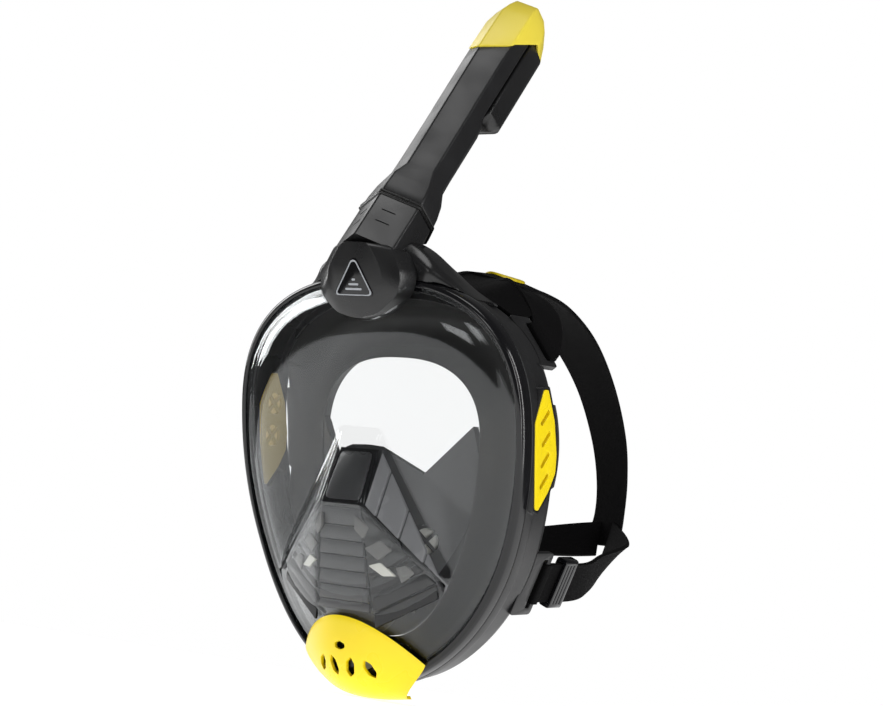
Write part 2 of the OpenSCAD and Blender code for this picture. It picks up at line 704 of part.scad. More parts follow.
// A flat band through its rows
module band(rows, t = strap_t) {
    n = len(rows);
    function along(i) = rows[min(i + 1, n - 1)][0] - rows[max(i - 1, 0)][0];
    tube([for (i = [0:n - 1]) let (c = rows[i][0], w = rows[i][1] / norm(rows[i][1]),
            up = cross(along(i), w), u = up / norm(up), a = w * rows[i][2] / 2, b = u * t / 2)
        [c - a - b, c + a - b, c + a + b, c - a + b]]);
}

module strap() {
    color([0.08, 0.08, 0.09]) for (side = [0, 1]) mirror([side, 0, 0]) {
        band(crown_rows);
        band(shoulder_rows);
        band(upper_rows);
        band(lower_rows);
        strap_loop(upper_lug, 25);
        strap_loop(lower_lug, web_w);
    }
}

patch_t = 1.2;
patch_y = 74;
patch_lift = 2.2;        // from the middle of the crown band to the middle of the patch
module strap_patch() {
    color(yellow) intersection() {
        for (side = [0, 1]) mirror([side, 0, 0]) translate([0, 0, patch_lift])
            band([crown_rows[1], crown_rows[2]], patch_t);
        translate([0, patch_y, 80]) scale([1, 1.3, 1]) cylinder(r = 12, h = 30, $fn = 96);
    }
}

slider_y = 30;
module strap_slider() {
    place = [lower_lug[0][0], slider_y, lower_lug[0][2]];
    color(gloss_black) translate(place) rotate([0, lower_lug[1], 0]) difference() {
        translate([-3.6, 0, -web_w / 2 - 3]) cube([7.2, 13, web_w + 6]);
        translate([-strap_t / 2 - 0.4, -1, -web_w / 2 - 0.4]) cube([strap_t + 0.8, 15, web_w + 0.8]);
    }
}
module strap_slider_left() { strap_slider(); }
module strap_slider_right() { right_side() strap_slider(); }

lens();
bezel();
frame();
inner_frame();
skirt();
nose_pocket();
beak_grille();
pocket_seat_left();
pocket_seat_right();
pocket_flap_left();
pocket_flap_right();
chin_cover();
purge_seat();
purge_flap();
socket();
socket_badge();
socket_screws();
socket_seal();
snorkel_tube();
tube_divider();
float_housing();
dry_top_cap();
float();
float_seal();
vent_cover_left();
vent_cover_right();
side_valve_seat_left();
side_valve_seat_right();
side_flap_left_upper();
side_flap_left_lower();
side_flap_right_upper();
side_flap_right_lower();
upper_clip_left();
upper_clip_right();
lower_clip_left();
lower_clip_right();
strap();
strap_patch();
strap_slider_left();
strap_slider_right();
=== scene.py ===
"""Looks of the full face snorkel mask: fine shells, soft parts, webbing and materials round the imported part."""

import math

import bmesh
import bpy
import numpy as np
from mathutils import Matrix, Vector


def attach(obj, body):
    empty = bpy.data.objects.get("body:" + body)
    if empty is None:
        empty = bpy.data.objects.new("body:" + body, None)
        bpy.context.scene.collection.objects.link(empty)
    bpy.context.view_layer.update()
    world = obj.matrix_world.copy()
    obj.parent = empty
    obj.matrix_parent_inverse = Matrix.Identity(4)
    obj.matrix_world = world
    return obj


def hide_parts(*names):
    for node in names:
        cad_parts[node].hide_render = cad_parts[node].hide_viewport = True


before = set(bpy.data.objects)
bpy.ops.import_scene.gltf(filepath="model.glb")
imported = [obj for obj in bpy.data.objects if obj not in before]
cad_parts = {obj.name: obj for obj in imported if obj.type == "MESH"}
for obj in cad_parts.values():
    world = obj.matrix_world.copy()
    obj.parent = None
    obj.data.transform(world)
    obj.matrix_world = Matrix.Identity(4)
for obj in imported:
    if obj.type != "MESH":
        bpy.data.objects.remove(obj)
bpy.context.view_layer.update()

MM = 0.001              # the shapes below are in millimetres
AROUND = 360            # steps round the rim

# Camera, floor and room, in metres
CAMERA_PLACE = (0.6586, -0.9285, -0.0055)
CAMERA_RIGHT, CAMERA_UP = (0.81915, 0.56799, 0.07983), (-0.04001, -0.08225, 0.99581)
CAMERA_LENS, CAMERA_SENSOR = 80.27, 36
FLOOR_R, FLOOR_Z, FLOOR_GLOW = 0.9, -0.157, 0.7
FLOOR_TILT = -math.atan2(0.139, 0.990)      # the floor's turn about x
ROOM_LIGHT = 0.10       # brightness of the room round the lights

# Driving sizes, as in the part's source
LENS_HALF_W, LENS_TOP, LENS_BOTTOM, LENS_T = 94.0, 79.0, 140.0, 2.5
RIM_POWER = 2.5
BEZEL_D, FRAME_D = 8.0, 36.0
OPENING_HALF_W, OPENING_Z, OPENING_RISE, OPENING_DROP = 55.0, -6.0, 46.0, 112.0
SNORKEL_LEAN = math.radians(39)
SNORKEL_SEAT = (0.0, -39.4, 119.1)
STRAP_T = 2.4


# ---------- camera, light and floor ----------

def add_object(name, data):
    made = bpy.data.objects.new(name, data)
    bpy.context.scene.collection.objects.link(made)
    return made


def make_camera():
    right, up = Vector(CAMERA_RIGHT), Vector(CAMERA_UP)
    data = bpy.data.cameras.new("camera")
    data.lens, data.sensor_width = CAMERA_LENS, CAMERA_SENSOR
    data.clip_start, data.clip_end = 0.01, 50
    camera = add_object("camera", data)
    turn = Matrix((right, up, right.cross(up))).transposed().to_4x4()
    camera.matrix_world = Matrix.Translation(CAMERA_PLACE) @ turn
    bpy.context.scene.camera = camera


def soft_light(name, place, aim, size, power, tall=None):
    data = bpy.data.lights.new(name, "AREA")
    data.shape = "RECTANGLE"
    data.size, data.size_y = size, tall or size
    data.energy = power
    lamp = add_object(name, data)
    lamp.location = place
    lamp.rotation_mode = "QUATERNION"
    lamp.rotation_quaternion = (Vector(aim) - Vector(place)).to_track_quat("-Z", "Y")


def light_scene():
    world = bpy.data.worlds.new("studio")
    bpy.context.scene.world = world
    world.use_nodes = True
    nodes, links = world.node_tree.nodes, world.node_tree.links
    sky = tune(nodes["Background"], Color=(1, 1, 1, 1))
    seen = nodes.new("ShaderNodeLightPath")
    level = tune(nodes.new("ShaderNodeMapRange"), To_Min=ROOM_LIGHT, To_Max=1.0)
    links.new(seen.outputs["Is Camera Ray"], level.inputs["Value"])
    links.new(level.outputs["Result"], sky.inputs["Strength"])
    soft_light("left", (-1.25, -0.2, 0.5), (0, -0.02, 0.08), 0.3, 9, 1.0)
    soft_light("top", (0.15, -0.25, 1.6), (0, 0, 0.05), 0.7, 5)
    soft_light("back_left", (-0.98, 0.55, 0.75), (0, 0.03, 0.18), 0.45, 1.3)
    soft_light("front", (0.1, -1.6, 0.75), (0, -0.05, 0), 0.5, 2.5)
    soft_light("strip_near", (1.25, -0.32, 0.2), (0.09, -0.03, 0), 0.12, 7, 1.3)
    soft_light("strip_far", (1.15, 0.25, 0.25), (0.09, -0.03, 0), 0.06, 3.4, 1.3)
    bpy.context.scene.view_settings.view_transform = "Standard"


def make_floor():
    """A plain white floor just under the chin."""
    ring = [(x, y, 0) for x, y in circle(FLOOR_R, 96)]
    mesh = bpy.data.meshes.new("floor")
    mesh.from_pydata(ring, [], [list(range(len(ring)))])
    floor = add_object("floor", mesh)
    floor.rotation_euler = (FLOOR_TILT, 0, 0)
    floor.location = (0, 0, FLOOR_Z)
    paint = Paint("floor_white")
    tune(paint.shader, Base_Color=(0.93, 0.93, 0.93, 1), Roughness=0.9,
         Emission_Color=(1, 1, 1, 1), Emission_Strength=FLOOR_GLOW)
    mesh.materials.append(paint.mat)


# ---------- materials ----------

def tune(node, **values):
    """Sets a node's inputs by name, with _ for each space."""
    for name, value in values.items():
        node.inputs[name.replace("_", " ")].default_value = value
    return node


class Paint:
    """A new material with its nodes, and short ways to add more."""

    def __init__(self, name):
        self.mat = bpy.data.materials.new(name)
        self.mat.use_nodes = True
        self.nodes = self.mat.node_tree.nodes
        self.link = self.mat.node_tree.links.new
        self.shader = self.nodes["Principled BSDF"]

    def add(self, kind, **values):
        return tune(self.nodes.new("ShaderNode" + kind), **values)

    def give(self, name, value):
        """Links a value to one of the shader's inputs."""
        self.link(value, self.shader.inputs[name])

    def object_coords(self):
        return self.add("TexCoord").outputs["Object"]

    def noise(self, coords, scale, detail):
        tex = self.add("TexNoise", Scale=scale, Detail=detail, Roughness=0.5)
        self.link(coords, tex.inputs["Vector"])
        return tex.outputs["Fac"]

    def spread(self, value, low, high):
        """value, which runs from about 0.3 to 0.7, mapped to low..high."""
        ramp = self.add("MapRange", From_Min=0.3, From_Max=0.7, To_Min=low, To_Max=high)
        self.link(value, ramp.inputs["Value"])
        return ramp.outputs["Result"]

    def blend(self, value, first, second):
        mix = self.add("Mix")
        mix.data_type = "RGBA"
        mix.inputs[6].default_value = (*first, 1)
        mix.inputs[7].default_value = (*second, 1)
        self.link(value, mix.inputs["Factor"])
        return mix.outputs[2]

    def bump(self, value, strength, depth):
        node = self.add("Bump", Strength=strength, Distance=depth)
        self.link(value, node.inputs["Height"])
        return node.outputs["Normal"]

    def finish(self, share, first, second):
        """Mixes two shaders by share, a number or a node's output, and sends them to the surface."""
        mix = self.add("MixShader")
        if isinstance(share, float):
            mix.inputs["Fac"].default_value = share
        else:
            self.link(share, mix.inputs["Fac"])
        self.link(first.outputs["BSDF"], mix.inputs[1])
        self.link(second.outputs["BSDF"], mix.inputs[2])
        self.link(mix.outputs["Shader"], self.nodes["Material Output"].inputs["Surface"])
        return self.mat


def moulded(name, colour, second, roughness, grain, strength, specular=0.5, painted_glow=0.0):
    """Moulded plastic or rubber: slightly uneven colour and gloss, and a fine grain; the last argument makes it
    give off its own colour, a painted glow that stands in for light shining through it.
    """
    paint = Paint(name)
    coords = paint.object_coords()
    broad = paint.noise(coords, 38.0, 2.0)
    fine = paint.noise(coords, grain, 4.0)
    paint.give("Base Color", paint.blend(broad, colour, second))
    paint.give("Roughness", paint.spread(broad, *roughness))
    paint.give("Normal", paint.bump(fine, strength, 0.0001))
    # The emission is a painted glow: on the amber parts it stands in for light shining through the translucent
    # amber.
    tune(paint.shader, Specular_IOR_Level=specular, Emission_Color=(*colour, 1), Emission_Strength=painted_glow)
    return paint.mat


def webbing_material():
    """Woven elastic: ribs across the band and fine threads along it, from the band's own coordinates."""
    paint = Paint("webbing")
    uv = paint.add("UVMap")
    uv.uv_map = "band"
    weave = paint.add("Math")
    weave.operation = "MULTIPLY"
    for k, (way, scale, distortion) in enumerate((("X", 0.5, 0.6), ("Y", 0.32, 1.2))):
        bands = paint.add("TexWave", Scale=scale, Distortion=distortion)
        bands.wave_type = "BANDS"
        bands.bands_direction = way
        paint.link(uv.outputs["UV"], bands.inputs["Vector"])
        paint.link(bands.outputs["Fac"], weave.inputs[k])
    fuzz = paint.noise(uv.outputs["UV"], 1.4, 4.0)
    paint.give("Base Color", paint.blend(weave.outputs[0], (0.0012, 0.0011, 0.0013), (0.005, 0.0045, 0.005)))
    paint.give("Roughness", paint.spread(fuzz, 0.72, 0.92))
    paint.give("Normal", paint.bump(weave.outputs[0], 0.5, 0.00025))
    tune(paint.shader, Specular_IOR_Level=0.1)
    return paint.mat


LENS_MIRROR = (0.035, 0.9)      # share of light mirrored face on, and at the very edge


def lens_material():
    """Clear polished plastic: mostly see-through, with sharp reflections that grow at the edges."""
    paint = Paint("lens_clear")
    coords = paint.object_coords()
    wave = paint.bump(paint.noise(coords, 14.0, 2.0), 0.04, 0.002)
    smudge = paint.noise(coords, 60.0, 3.0)
    tune(paint.shader, Base_Color=(0.9, 0.92, 0.93, 1), Metallic=1.0)
    paint.give("Roughness", paint.spread(smudge, 0.02, 0.07))
    paint.give("Normal", wave)
    clear = paint.add("BsdfTransparent", Color=(0.955, 0.96, 0.96, 1))
    weight = paint.add("LayerWeight")
    paint.link(wave, weight.inputs["Normal"])
    grazing = paint.add("Math")
    grazing.operation = "POWER"
    grazing.inputs[1].default_value = 4.0
    paint.link(weight.outputs["Facing"], grazing.inputs[0])
    share = paint.add("MapRange", To_Min=LENS_MIRROR[0], To_Max=LENS_MIRROR[1])
    paint.link(grazing.outputs[0], share.inputs["Value"])
    return paint.finish(share.outputs["Result"], clear, paint.shader)


def smoky(name, colour, clear):
    """Smoke-tinted see-through plastic."""
    paint = Paint(name)
    broad = paint.noise(paint.object_coords(), 40.0, 2.0)
    paint.give("Base Color", paint.blend(broad, colour, tuple(v * 1.25 for v in colour)))
    paint.give("Roughness", paint.spread(broad, 0.2, 0.3))
    return paint.finish(clear, paint.shader, paint.add("BsdfTransparent"))


def grey(v):
    return (v, v, v)


# By key: name, first and second colour, roughness range, grain scale and grain strength,
# then the specular level and the glow where they aren't the usual ones; the amber parts' glow is painted light
# standing in for light shining through them
MOULDED = {
    "gloss": ("gloss_black", (0.003, 0.003, 0.004), (0.006, 0.006, 0.007), (0.10, 0.18), 900, 0.02),
    "matt": ("matt_charcoal", (0.010, 0.010, 0.0105), (0.015, 0.015, 0.016), (0.3, 0.42), 2600, 0.08, 0.4),
    "satin": ("satin_charcoal", (0.008, 0.008, 0.0085), (0.013, 0.013, 0.0135), (0.24, 0.34), 1800, 0.05),
    "silicone": ("dark_silicone", (0.028, 0.027, 0.027), (0.036, 0.035, 0.035), (0.4, 0.5), 300, 0.01, 0.3),
    "pocket": ("pocket_silicone", (0.040, 0.040, 0.043), (0.050, 0.050, 0.054), (0.32, 0.42), 700, 0.02),
    "grille": ("grille_grey", (0.042, 0.042, 0.044), (0.055, 0.055, 0.058), (0.26, 0.36), 700, 0.02),
    "window": ("window_grey", grey(0.10), (0.14, 0.14, 0.135), (0.2, 0.3), 700, 0.02),
    "beige": ("valve_beige", (0.55, 0.55, 0.5), (0.62, 0.62, 0.57), (0.3, 0.4), 700, 0.02),
    "yellow": ("yellow_plastic", (0.93, 0.70, 0.004), (0.96, 0.75, 0.006), (0.24, 0.34), 1500, 0.05),
    "cap": ("cap_yellow", (0.93, 0.74, 0.06), (0.96, 0.79, 0.08), (0.3, 0.4), 1500, 0.05),
    "yellow_soft": ("yellow_rubber", (0.90, 0.68, 0.006), (0.94, 0.73, 0.008), (0.42, 0.52), 1500, 0.08),
    "flap": ("clear_silicone", (0.55, 0.55, 0.52), (0.64, 0.64, 0.6), (0.25, 0.35), 1200, 0.03),
    # The amber flaps and seat glow with painted light, standing in for light shining through the amber.
    "amber": ("amber_silicone", (0.42, 0.33, 0.12), (0.5, 0.4, 0.16), (0.25, 0.35), 1200, 0.03, 0.5, 0.3),
    "amber_seat": ("amber_seat", (0.20, 0.155, 0.05), (0.27, 0.21, 0.075), (0.25, 0.35), 1200, 0.03, 0.5, 0.5),
    "badge": ("badge_grey", (0.42, 0.44, 0.47), (0.5, 0.52, 0.55), (0.3, 0.4), 1500, 0.03),
    "steel": ("steel", grey(0.55), grey(0.62), (0.25, 0.35), 2400, 0.05),
    "rubber": ("black_rubber", grey(0.004), grey(0.008), (0.25, 0.35), 1500, 0.06),
    "foam": ("float_foam", (0.7, 0.66, 0.55), (0.78, 0.74, 0.63), (0.7, 0.85), 2200, 0.3),
}


def make_materials():
    made = {key: moulded(*values) for key, values in MOULDED.items()}
    made["lens"] = lens_material()
    made["louvre"] = smoky("louvre_smoke", (0.26, 0.26, 0.27), 0.3)
    made["webbing"] = webbing_material()
    return made


# ---------- mesh helpers ----------

def new_piece(name, points, faces, sharp=38.0):
    """An object from points in millimetres, with its faces turned outwards and its sharp edges kept."""
    mesh = bpy.data.meshes.new(name)
    places = [Vector(p) * MM for p in np.asarray(points, float).tolist()]
    mesh.from_pydata(places, [], [list(f) for f in faces])
    work = bmesh.new()
    work.from_mesh(mesh)
    bmesh.ops.remove_doubles(work, verts=work.verts, dist=1e-7)
    bmesh.ops.recalc_face_normals(work, faces=work.faces)
    work.to_mesh(mesh)
    work.free()
    piece = add_object(name, mesh)
    shade(piece, sharp)
    return piece


def shade(piece, sharp):
    mesh = piece.data
    mesh.polygons.foreach_set("use_smooth", [True] * len(mesh.polygons))
    mesh.set_sharp_from_angle(angle=math.radians(sharp))
    mesh.update()


def settle(piece, sharp=38.0):
    """Applies the piece's modifiers."""
    graph = bpy.context.evaluated_depsgraph_get()
    made = bpy.data.meshes.new_from_object(piece.evaluated_get(graph))
    piece.modifiers.clear()
    piece.data = made
    shade(piece, sharp)
    return piece


def soften(piece, width, angle=30.0, segments=2):
    """Rounds the edges sharper than angle."""
    mod = piece.modifiers.new("round", "BEVEL")
    mod.width = width * MM
    mod.segments = segments
    mod.limit_method = "ANGLE"
    mod.angle_limit = math.radians(angle)
    mod.harden_normals = False
    return settle(piece)


def combine(piece, others, how):
    """Adds the others to the piece, or takes them from it, and removes them."""
    for other in others:
        mod = piece.modifiers.new("join", "BOOLEAN")
        mod.operation = how
        mod.solver = "EXACT"
        mod.object = other
        settle(piece)
        bpy.data.objects.remove(other)
    return piece


def cut(piece, *cutters):
    return combine(piece, cutters, "DIFFERENCE")


def join(piece, *others):
    return combine(piece, others, "UNION")


def quads(n, m, wrap_n=False, wrap_m=False, base=0):
    """Faces of an n by m grid of points, closed either way where it wraps."""
    rows = range(n if wrap_n else n - 1)
    cols = range(m if wrap_m else m - 1)
    return [(base + i * m + j, base + i * m + (j + 1) % m,
             base + (i + 1) % n * m + (j + 1) % m, base + (i + 1) % n * m + j)
            for i in rows for j in cols]


def swept(name, rings, ends=False, sharp=38.0):
    """A closed loop of closed rings, or with ends a capped tube through them."""
    rings = np.asarray(rings, float)
    n, m = rings.shape[:2]
    faces = quads(n, m, wrap_n=not ends, wrap_m=True)
    if ends:
        faces += [list(range(m)), list(range((n - 1) * m, n * m))]
    return new_piece(name, rings.reshape(-1, 3), faces, sharp)


def rounded(points, radius, closed=True, steps=4):
    """A path with each corner replaced by a short curve."""
    points = [np.asarray(p, float) for p in points]
    n = len(points)
    made = []
    for i, p in enumerate(points):
        if not closed and i in (0, n - 1):
            made.append(p)
            continue
        before, after = points[i - 1], points[(i + 1) % n]
        a = p + (before - p) * min(radius / np.linalg.norm(before - p), 0.45)
        b = p + (after - p) * min(radius / np.linalg.norm(after - p), 0.45)
        for t in np.linspace(0, 1, steps):
            made.append((1 - t) ** 2 * a + 2 * t * (1 - t) * p + t ** 2 * b)
    return np.array(made)


def divided(path, step, closed=True):
    """The path with points added so that none is further than step from the next."""
    made = []
    n = len(path)
    for i in range(n if closed else n - 1):
        a, b = np.asarray(path[i], float), np.asarray(path[(i + 1) % n], float)
        count = max(1, int(math.ceil(np.linalg.norm(b - a) / step)))
        made += [a + (b - a) * k / count for k in range(count)]
    if not closed:
        made.append(np.asarray(path[-1], float))
    return np.array(made)


def circle(radius, count, u0=0.0, v0=0.0):
    """Points of a circle, anticlockwise from its right."""
    return [(u0 + radius * math.cos(a), v0 + radius * math.sin(a))
            for a in np.linspace(0, 2 * math.pi, count, endpoint=False)]


def prism(name, outline, place, depth):
    """A block with the outline's shape. place puts a point (u, v, w) of the outline's plane, w along depth."""
    n = len(outline)
    points = [place(u, v, w) for w in depth for u, v in outline]
    faces = [list(range(n)), list(range(n, 2 * n))] + quads(2, n, wrap_m=True)
    return new_piece(name, points, faces)


def smooth_line(rows, count):
    """Values along a smooth curve through the rows (Catmull-Rom)."""
    rows = np.asarray(rows, float)
    full = np.vstack([2 * rows[0] - rows[1], rows, 2 * rows[-1] - rows[-2]])
    lengths = np.r_[0, np.cumsum(np.linalg.norm(np.diff(rows[:, :3], axis=0), axis=1))]
    made = []
    for s in np.linspace(0, lengths[-1], count):
        i = min(int(np.searchsorted(lengths, s, side="right")) - 1, len(rows) - 2)
        t = (s - lengths[i]) / (lengths[i + 1] - lengths[i])
        a, b, c, d = full[i:i + 4]
        made.append(0.5 * (2 * b + (c - a) * t + (2 * a - 5 * b + 4 * c - d) * t ** 2
                           + (3 * b - a - 3 * c + d) * t ** 3))
    return np.array(made)


def mirrored(half):
    """A right half outline, from the symmetry line round to it again, made whole."""
    return list(half) + [(-x, z) for x, z in reversed(half) if x > 1e-6]


def dress(piece, mat, body="root", replaces=()):
    """Gives a piece its material and the body it moves with, and hides the CAD nodes it stands for."""
    piece.data.materials.clear()
    piece.data.materials.append(mat)
    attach(piece, body)
    if replaces:
        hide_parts(*replaces)
    return piece


SIDES = (("left", 1), ("right", -1))


# ---------- master surfaces ----------

def power(v, p):
    return np.sign(v) * np.abs(v) ** p


def rim(t, off=0.0):
    """Point (x, z) of the rim at angle t in radians, moved outwards by off."""
    c, s = np.cos(t), np.sin(t)
    upper = ((LENS_HALF_W + off) * power(c, 2 / RIM_POWER), (LENS_TOP + off) * power(s, 2 / RIM_POWER))
    lower = ((LENS_HALF_W + off) * c, (LENS_BOTTOM + off) * s)
    return np.where(s > 0, upper[0], lower[0]), np.where(s > 0, upper[1], lower[1])


def rim_y(z):
    return -45 - 0.15 * z - 0.002 * np.maximum(0, -z - 60) ** 2


def smooth_max(a, b, k):
    return (a + b + np.sqrt((a - b) ** 2 + k * k)) / 2


def smooth_min(a, b, k):
    return (a + b - np.sqrt((a - b) ** 2 + k * k)) / 2


def beak_nose(z):
    return 62 + 0.4 * (-10.6 - z)


def beak_front(z):
    return 75 - 0.2 * (-43.2 - z)


def beak_lower_side(x, z):
    return 88.46 - 0.4417 * np.abs(x) + 0.1663 * z


def beak_upper_side(x, z):
    return 71.36 - 1.0035 * np.abs(x) - 0.4142 * z


def beak(x, z, k=0.7):
    front = smooth_min(beak_nose(z), beak_front(z), k)
    return smooth_min(front, smooth_min(beak_lower_side(x, z), beak_upper_side(x, z), k), k)


def rim_ray(x, z):
    """Rim point on the ray from the centre through (x, z)."""
    upper = z > 0
    p = np.where(upper, RIM_POWER, 2.0)
    d = np.where(upper, LENS_TOP, LENS_BOTTOM)
    r = np.maximum(np.hypot(x, z), 0.01)
    u, w = x / r, z / r
    k = ((np.abs(u) / LENS_HALF_W) ** p + (np.abs(w) / d) ** p) ** (-1 / p)
    return u * k, w * k, k - r


def lens_height(x, z):
    """Forward height of the lens: window and beak, with a rounded shoulder down to the rim."""
    _, ez, inward = rim_ray(x, z)
    inward = np.maximum(inward, 0)
    window = 59.5 + 0.15 * z - x * x / 840
    dome = smooth_max(window, beak(x, z), 1.6)
    shoulder = -rim_y(ez) + 0.75 * inward
    return smooth_min(dome, shoulder, np.minimum(5.0, 0.8 * inward) + 1e-6)


CHIN_ARCH_Z, CHIN_ARCH_BEND = -104.4, 0.0132
LOBE_LOW_Z, LOBE_BEND = 57.0, 0.0188


def lens_edge(t):
    """Edge of the lens at angle t: the rim, cut by the chin cover's arch and the socket's lobe."""
    x, z = rim(t)
    share = np.ones_like(x)
    for z0, bend, here in ((LOBE_LOW_Z, LOBE_BEND, z > 0), (CHIN_ARCH_Z, -CHIN_ARCH_BEND, z < 0)):
        disc = z * z - 4 * bend * x * x * z0
        root = np.sqrt(np.maximum(disc, 0))
        cut = np.where(here & (disc > 0), 2 * z0 / np.where(here, z + np.sign(z) * root, 1.0), 1.0)
        share = np.minimum(share, np.where(here, cut, 1.0))
    return x * share, z * share


def rim_rings(profile, around=AROUND):
    """The profile of (outward, back) points swept round the rim."""
    t = np.arange(around) * 2 * math.pi / around
    z0 = rim(t)[1]
    rings = np.zeros((around, len(profile), 3))
    for j, (off, back) in enumerate(profile):
        x, z = rim(t, off)
        rings[:, j] = np.stack([x, rim_y(z0) + back, z], -1)
    return rings


def two_skins(name, front, back, middle_front, middle_back, sharp=38.0):
    """A closed shell from rings that run from a middle point to the edge, front and back."""
    n, m = front.shape[:2]
    points = np.vstack([front.reshape(-1, 3), back[::-1].reshape(-1, 3), [middle_front, middle_back]])
    faces = quads(2 * n, m, wrap_m=True)
    last = 2 * n * m
    faces += [(last, (j + 1) % m, j) for j in range(m)]
    faces += [(last + 1, (2 * n - 1) * m + j, (2 * n - 1) * m + (j + 1) % m) for j in range(m)]
    return new_piece(name, points, faces, sharp)


# ---------- lens, bezel and frame ----------

def build_lens(mats):
    t = np.arange(AROUND) * 2 * math.pi / AROUND
    ex, ez = lens_edge(t)
    shares = np.linspace(0, 1, 111)[1:]
    x, z = shares[:, None] * ex, shares[:, None] * ez
    h = lens_height(x, z)
    front = np.stack([x, -h, z], -1)
    back = np.stack([x, LENS_T - h, z], -1)
    h0 = float(lens_height(np.array(0.0), np.array(0.001)))
    lens = two_skins("lens_dome", front, back, (0, -h0, 0), (0, LENS_T - h0, 0), 50)
    dress(lens, mats["lens"], replaces=["lens"])


def build_bezel(mats):
    profile = rounded([(0.2, -0.8), (1.6, -1.4), (3.4, -0.4), (4.4, 2), (5, BEZEL_D), (2.6, BEZEL_D),
                       (2.4, 4.6), (-2.5, 4.6), (-2.5, 2.8), (0.2, 2.8)], 0.7)
    bezel = swept("bezel_ring", rim_rings(profile), sharp=60)
    dress(bezel, mats["gloss"], replaces=["bezel"])


VENT_OUTLINE = [(-24, 27), (-15, 10), (-10.5, -8), (-10.5, -18), (-16, -28), (-25.5, -39), (-29, -38),
                (-31.5, -19), (-35, 8), (-28.5, 26.5)]
VENT_SLOTS = (-25, -22.5, -22, -21.5)
VENT_SLOT_TURN = math.radians(42)
VENT_RIM, VENT_GAP, VENT_CUT = 1.7, 0.3, (85, 102)     # raised rim, gap round the cover, how far a cut reaches


def grown(outline, by):
    """The outline moved outwards by a distance."""
    points = [np.asarray(p, float) for p in outline]
    n = len(points)
    area = sum(points[i][0] * points[(i + 1) % n][1] - points[(i + 1) % n][0] * points[i][1] for i in range(n))
    turn = 1 if area > 0 else -1
    made = []
    for i in range(n):
        a, p, b = points[i - 1], points[i], points[(i + 1) % n]
        d1, d2 = (p - a) / np.linalg.norm(p - a), (b - p) / np.linalg.norm(b - p)
        n1, n2 = turn * np.array([d1[1], -d1[0]]), turn * np.array([d2[1], -d2[0]])
        mitre = (n1 + n2) / (1 + n1 @ n2)
        made.append(p + mitre * by)
    return made


def vent_block(name, side, x0, x1, by, radius=1.0):
    outline = rounded(grown(VENT_OUTLINE, by), radius)
    return prism(name, outline, lambda y, z, x: (side * x, y, z), (x0, x1))


def build_frame(mats):
    profile = rounded([(5, BEZEL_D + 0.1), (4.8, 16), (3.2, 18), (3, FRAME_D - 5), (1.2, FRAME_D),
                       (-1, FRAME_D), (0.8, FRAME_D - 5), (0.8, 18), (2.4, 16), (2.6, BEZEL_D + 0.1)], 0.6)
    shell = swept("frame_shell", rim_rings(profile), sharp=50)
    for name, side in SIDES:
        join(shell, vent_block("rim_" + name, side, 93, 98.8, VENT_RIM, 1.6))
        cut(shell, vent_block("hole_" + name, side, *VENT_CUT, VENT_GAP))
    dress(soften(shell, 0.25, 45), mats["matt"], replaces=["frame"])
    profile = rounded([(2.1, 4.9), (2.1, BEZEL_D), (0.5, 18), (0.5, FRAME_D - 9), (-6, FRAME_D - 11.3),
                       (-6, FRAME_D - 13.3), (-1.6, FRAME_D - 11.7), (-1.6, 18), (-2.4, 4.9)], 0.5)
    inner = swept("inner_liner", rim_rings(profile), sharp=50)
    for name, side in SIDES:
        cut(inner, vent_block("gap_" + name, side, *VENT_CUT, 1.8))
    dress(inner, mats["satin"], replaces=["inner_frame"])


# ---------- skirt and nose pocket ----------

def opening(t):
    """Edge of the face opening at angle t."""
    c, s = np.cos(t), np.sin(t)
    upper = (OPENING_HALF_W * power(c, 0.8), OPENING_Z + OPENING_RISE * power(s, 0.8))
    lower = (OPENING_HALF_W * c, OPENING_Z + OPENING_DROP * s)
    return np.where(s > 0, upper[0], lower[0]), np.where(s > 0, upper[1], lower[1])


def vent_bulge(z):
    """How far, from 0 to 1, the skirt's clamped edge is pushed back behind the side vents."""
    return np.maximum(0, 1 - ((z + 4) / 42) ** 2) ** 0.7


SKIRT_W = 36.0          # usual width of the skirt, from its clamped edge to the opening
TAB_WIDE, TAB_NARROW = 0.17, 0.08       # tab that closes the slit beside the vents, as shares of that width


def build_skirt(mats):
    """The soft skirt: shares run from 0 at the clamped edge to 1 at the face opening."""
    t = np.arange(AROUND) * 2 * math.pi / AROUND
    ax, az = rim(t, -4)
    bx, bz = opening(t)
    z0 = rim(t)[1]
    bulge = vent_bulge(z0)
    y0 = rim_y(z0) + FRAME_D - 8.4 + 13 * bulge
    reach = np.where(bulge > 0.78, TAB_WIDE, np.where(bulge > 0.2, TAB_NARROW, 0))
    y1 = -21 - 5 * np.maximum(0, np.sin(t)) + 6 * np.maximum(0, -np.sin(t))
    rings = []
    for i in range(AROUND):
        path = [(-reach[i], y0[i] + 1.2), (0.1, max(-7, y0[i] + 1)), (0.25, -1.5), (0.42, 0), (0.6, -0.6),
                (0.8, -6), (1, y1[i] + 1), (1, y1[i] - 1), (0.78, -8.6), (0.6, -3), (0.42, -2.4), (0.27, -4),
                (0.13, max(-9.6, y0[i] - 1)), (-reach[i], y0[i] - 1.2)]
        curve = rounded([(share * SKIRT_W, y) for share, y in path], 4.0, steps=5)
        share = curve[:, 0] / SKIRT_W
        x, z = ax[i] + (bx[i] - ax[i]) * share, az[i] + (bz[i] - az[i]) * share
        rings.append(np.stack([x, curve[:, 1], z], -1))
    skirt = swept("face_skirt", rings, sharp=60)
    dress(skirt, mats["silicone"], replaces=["skirt"])


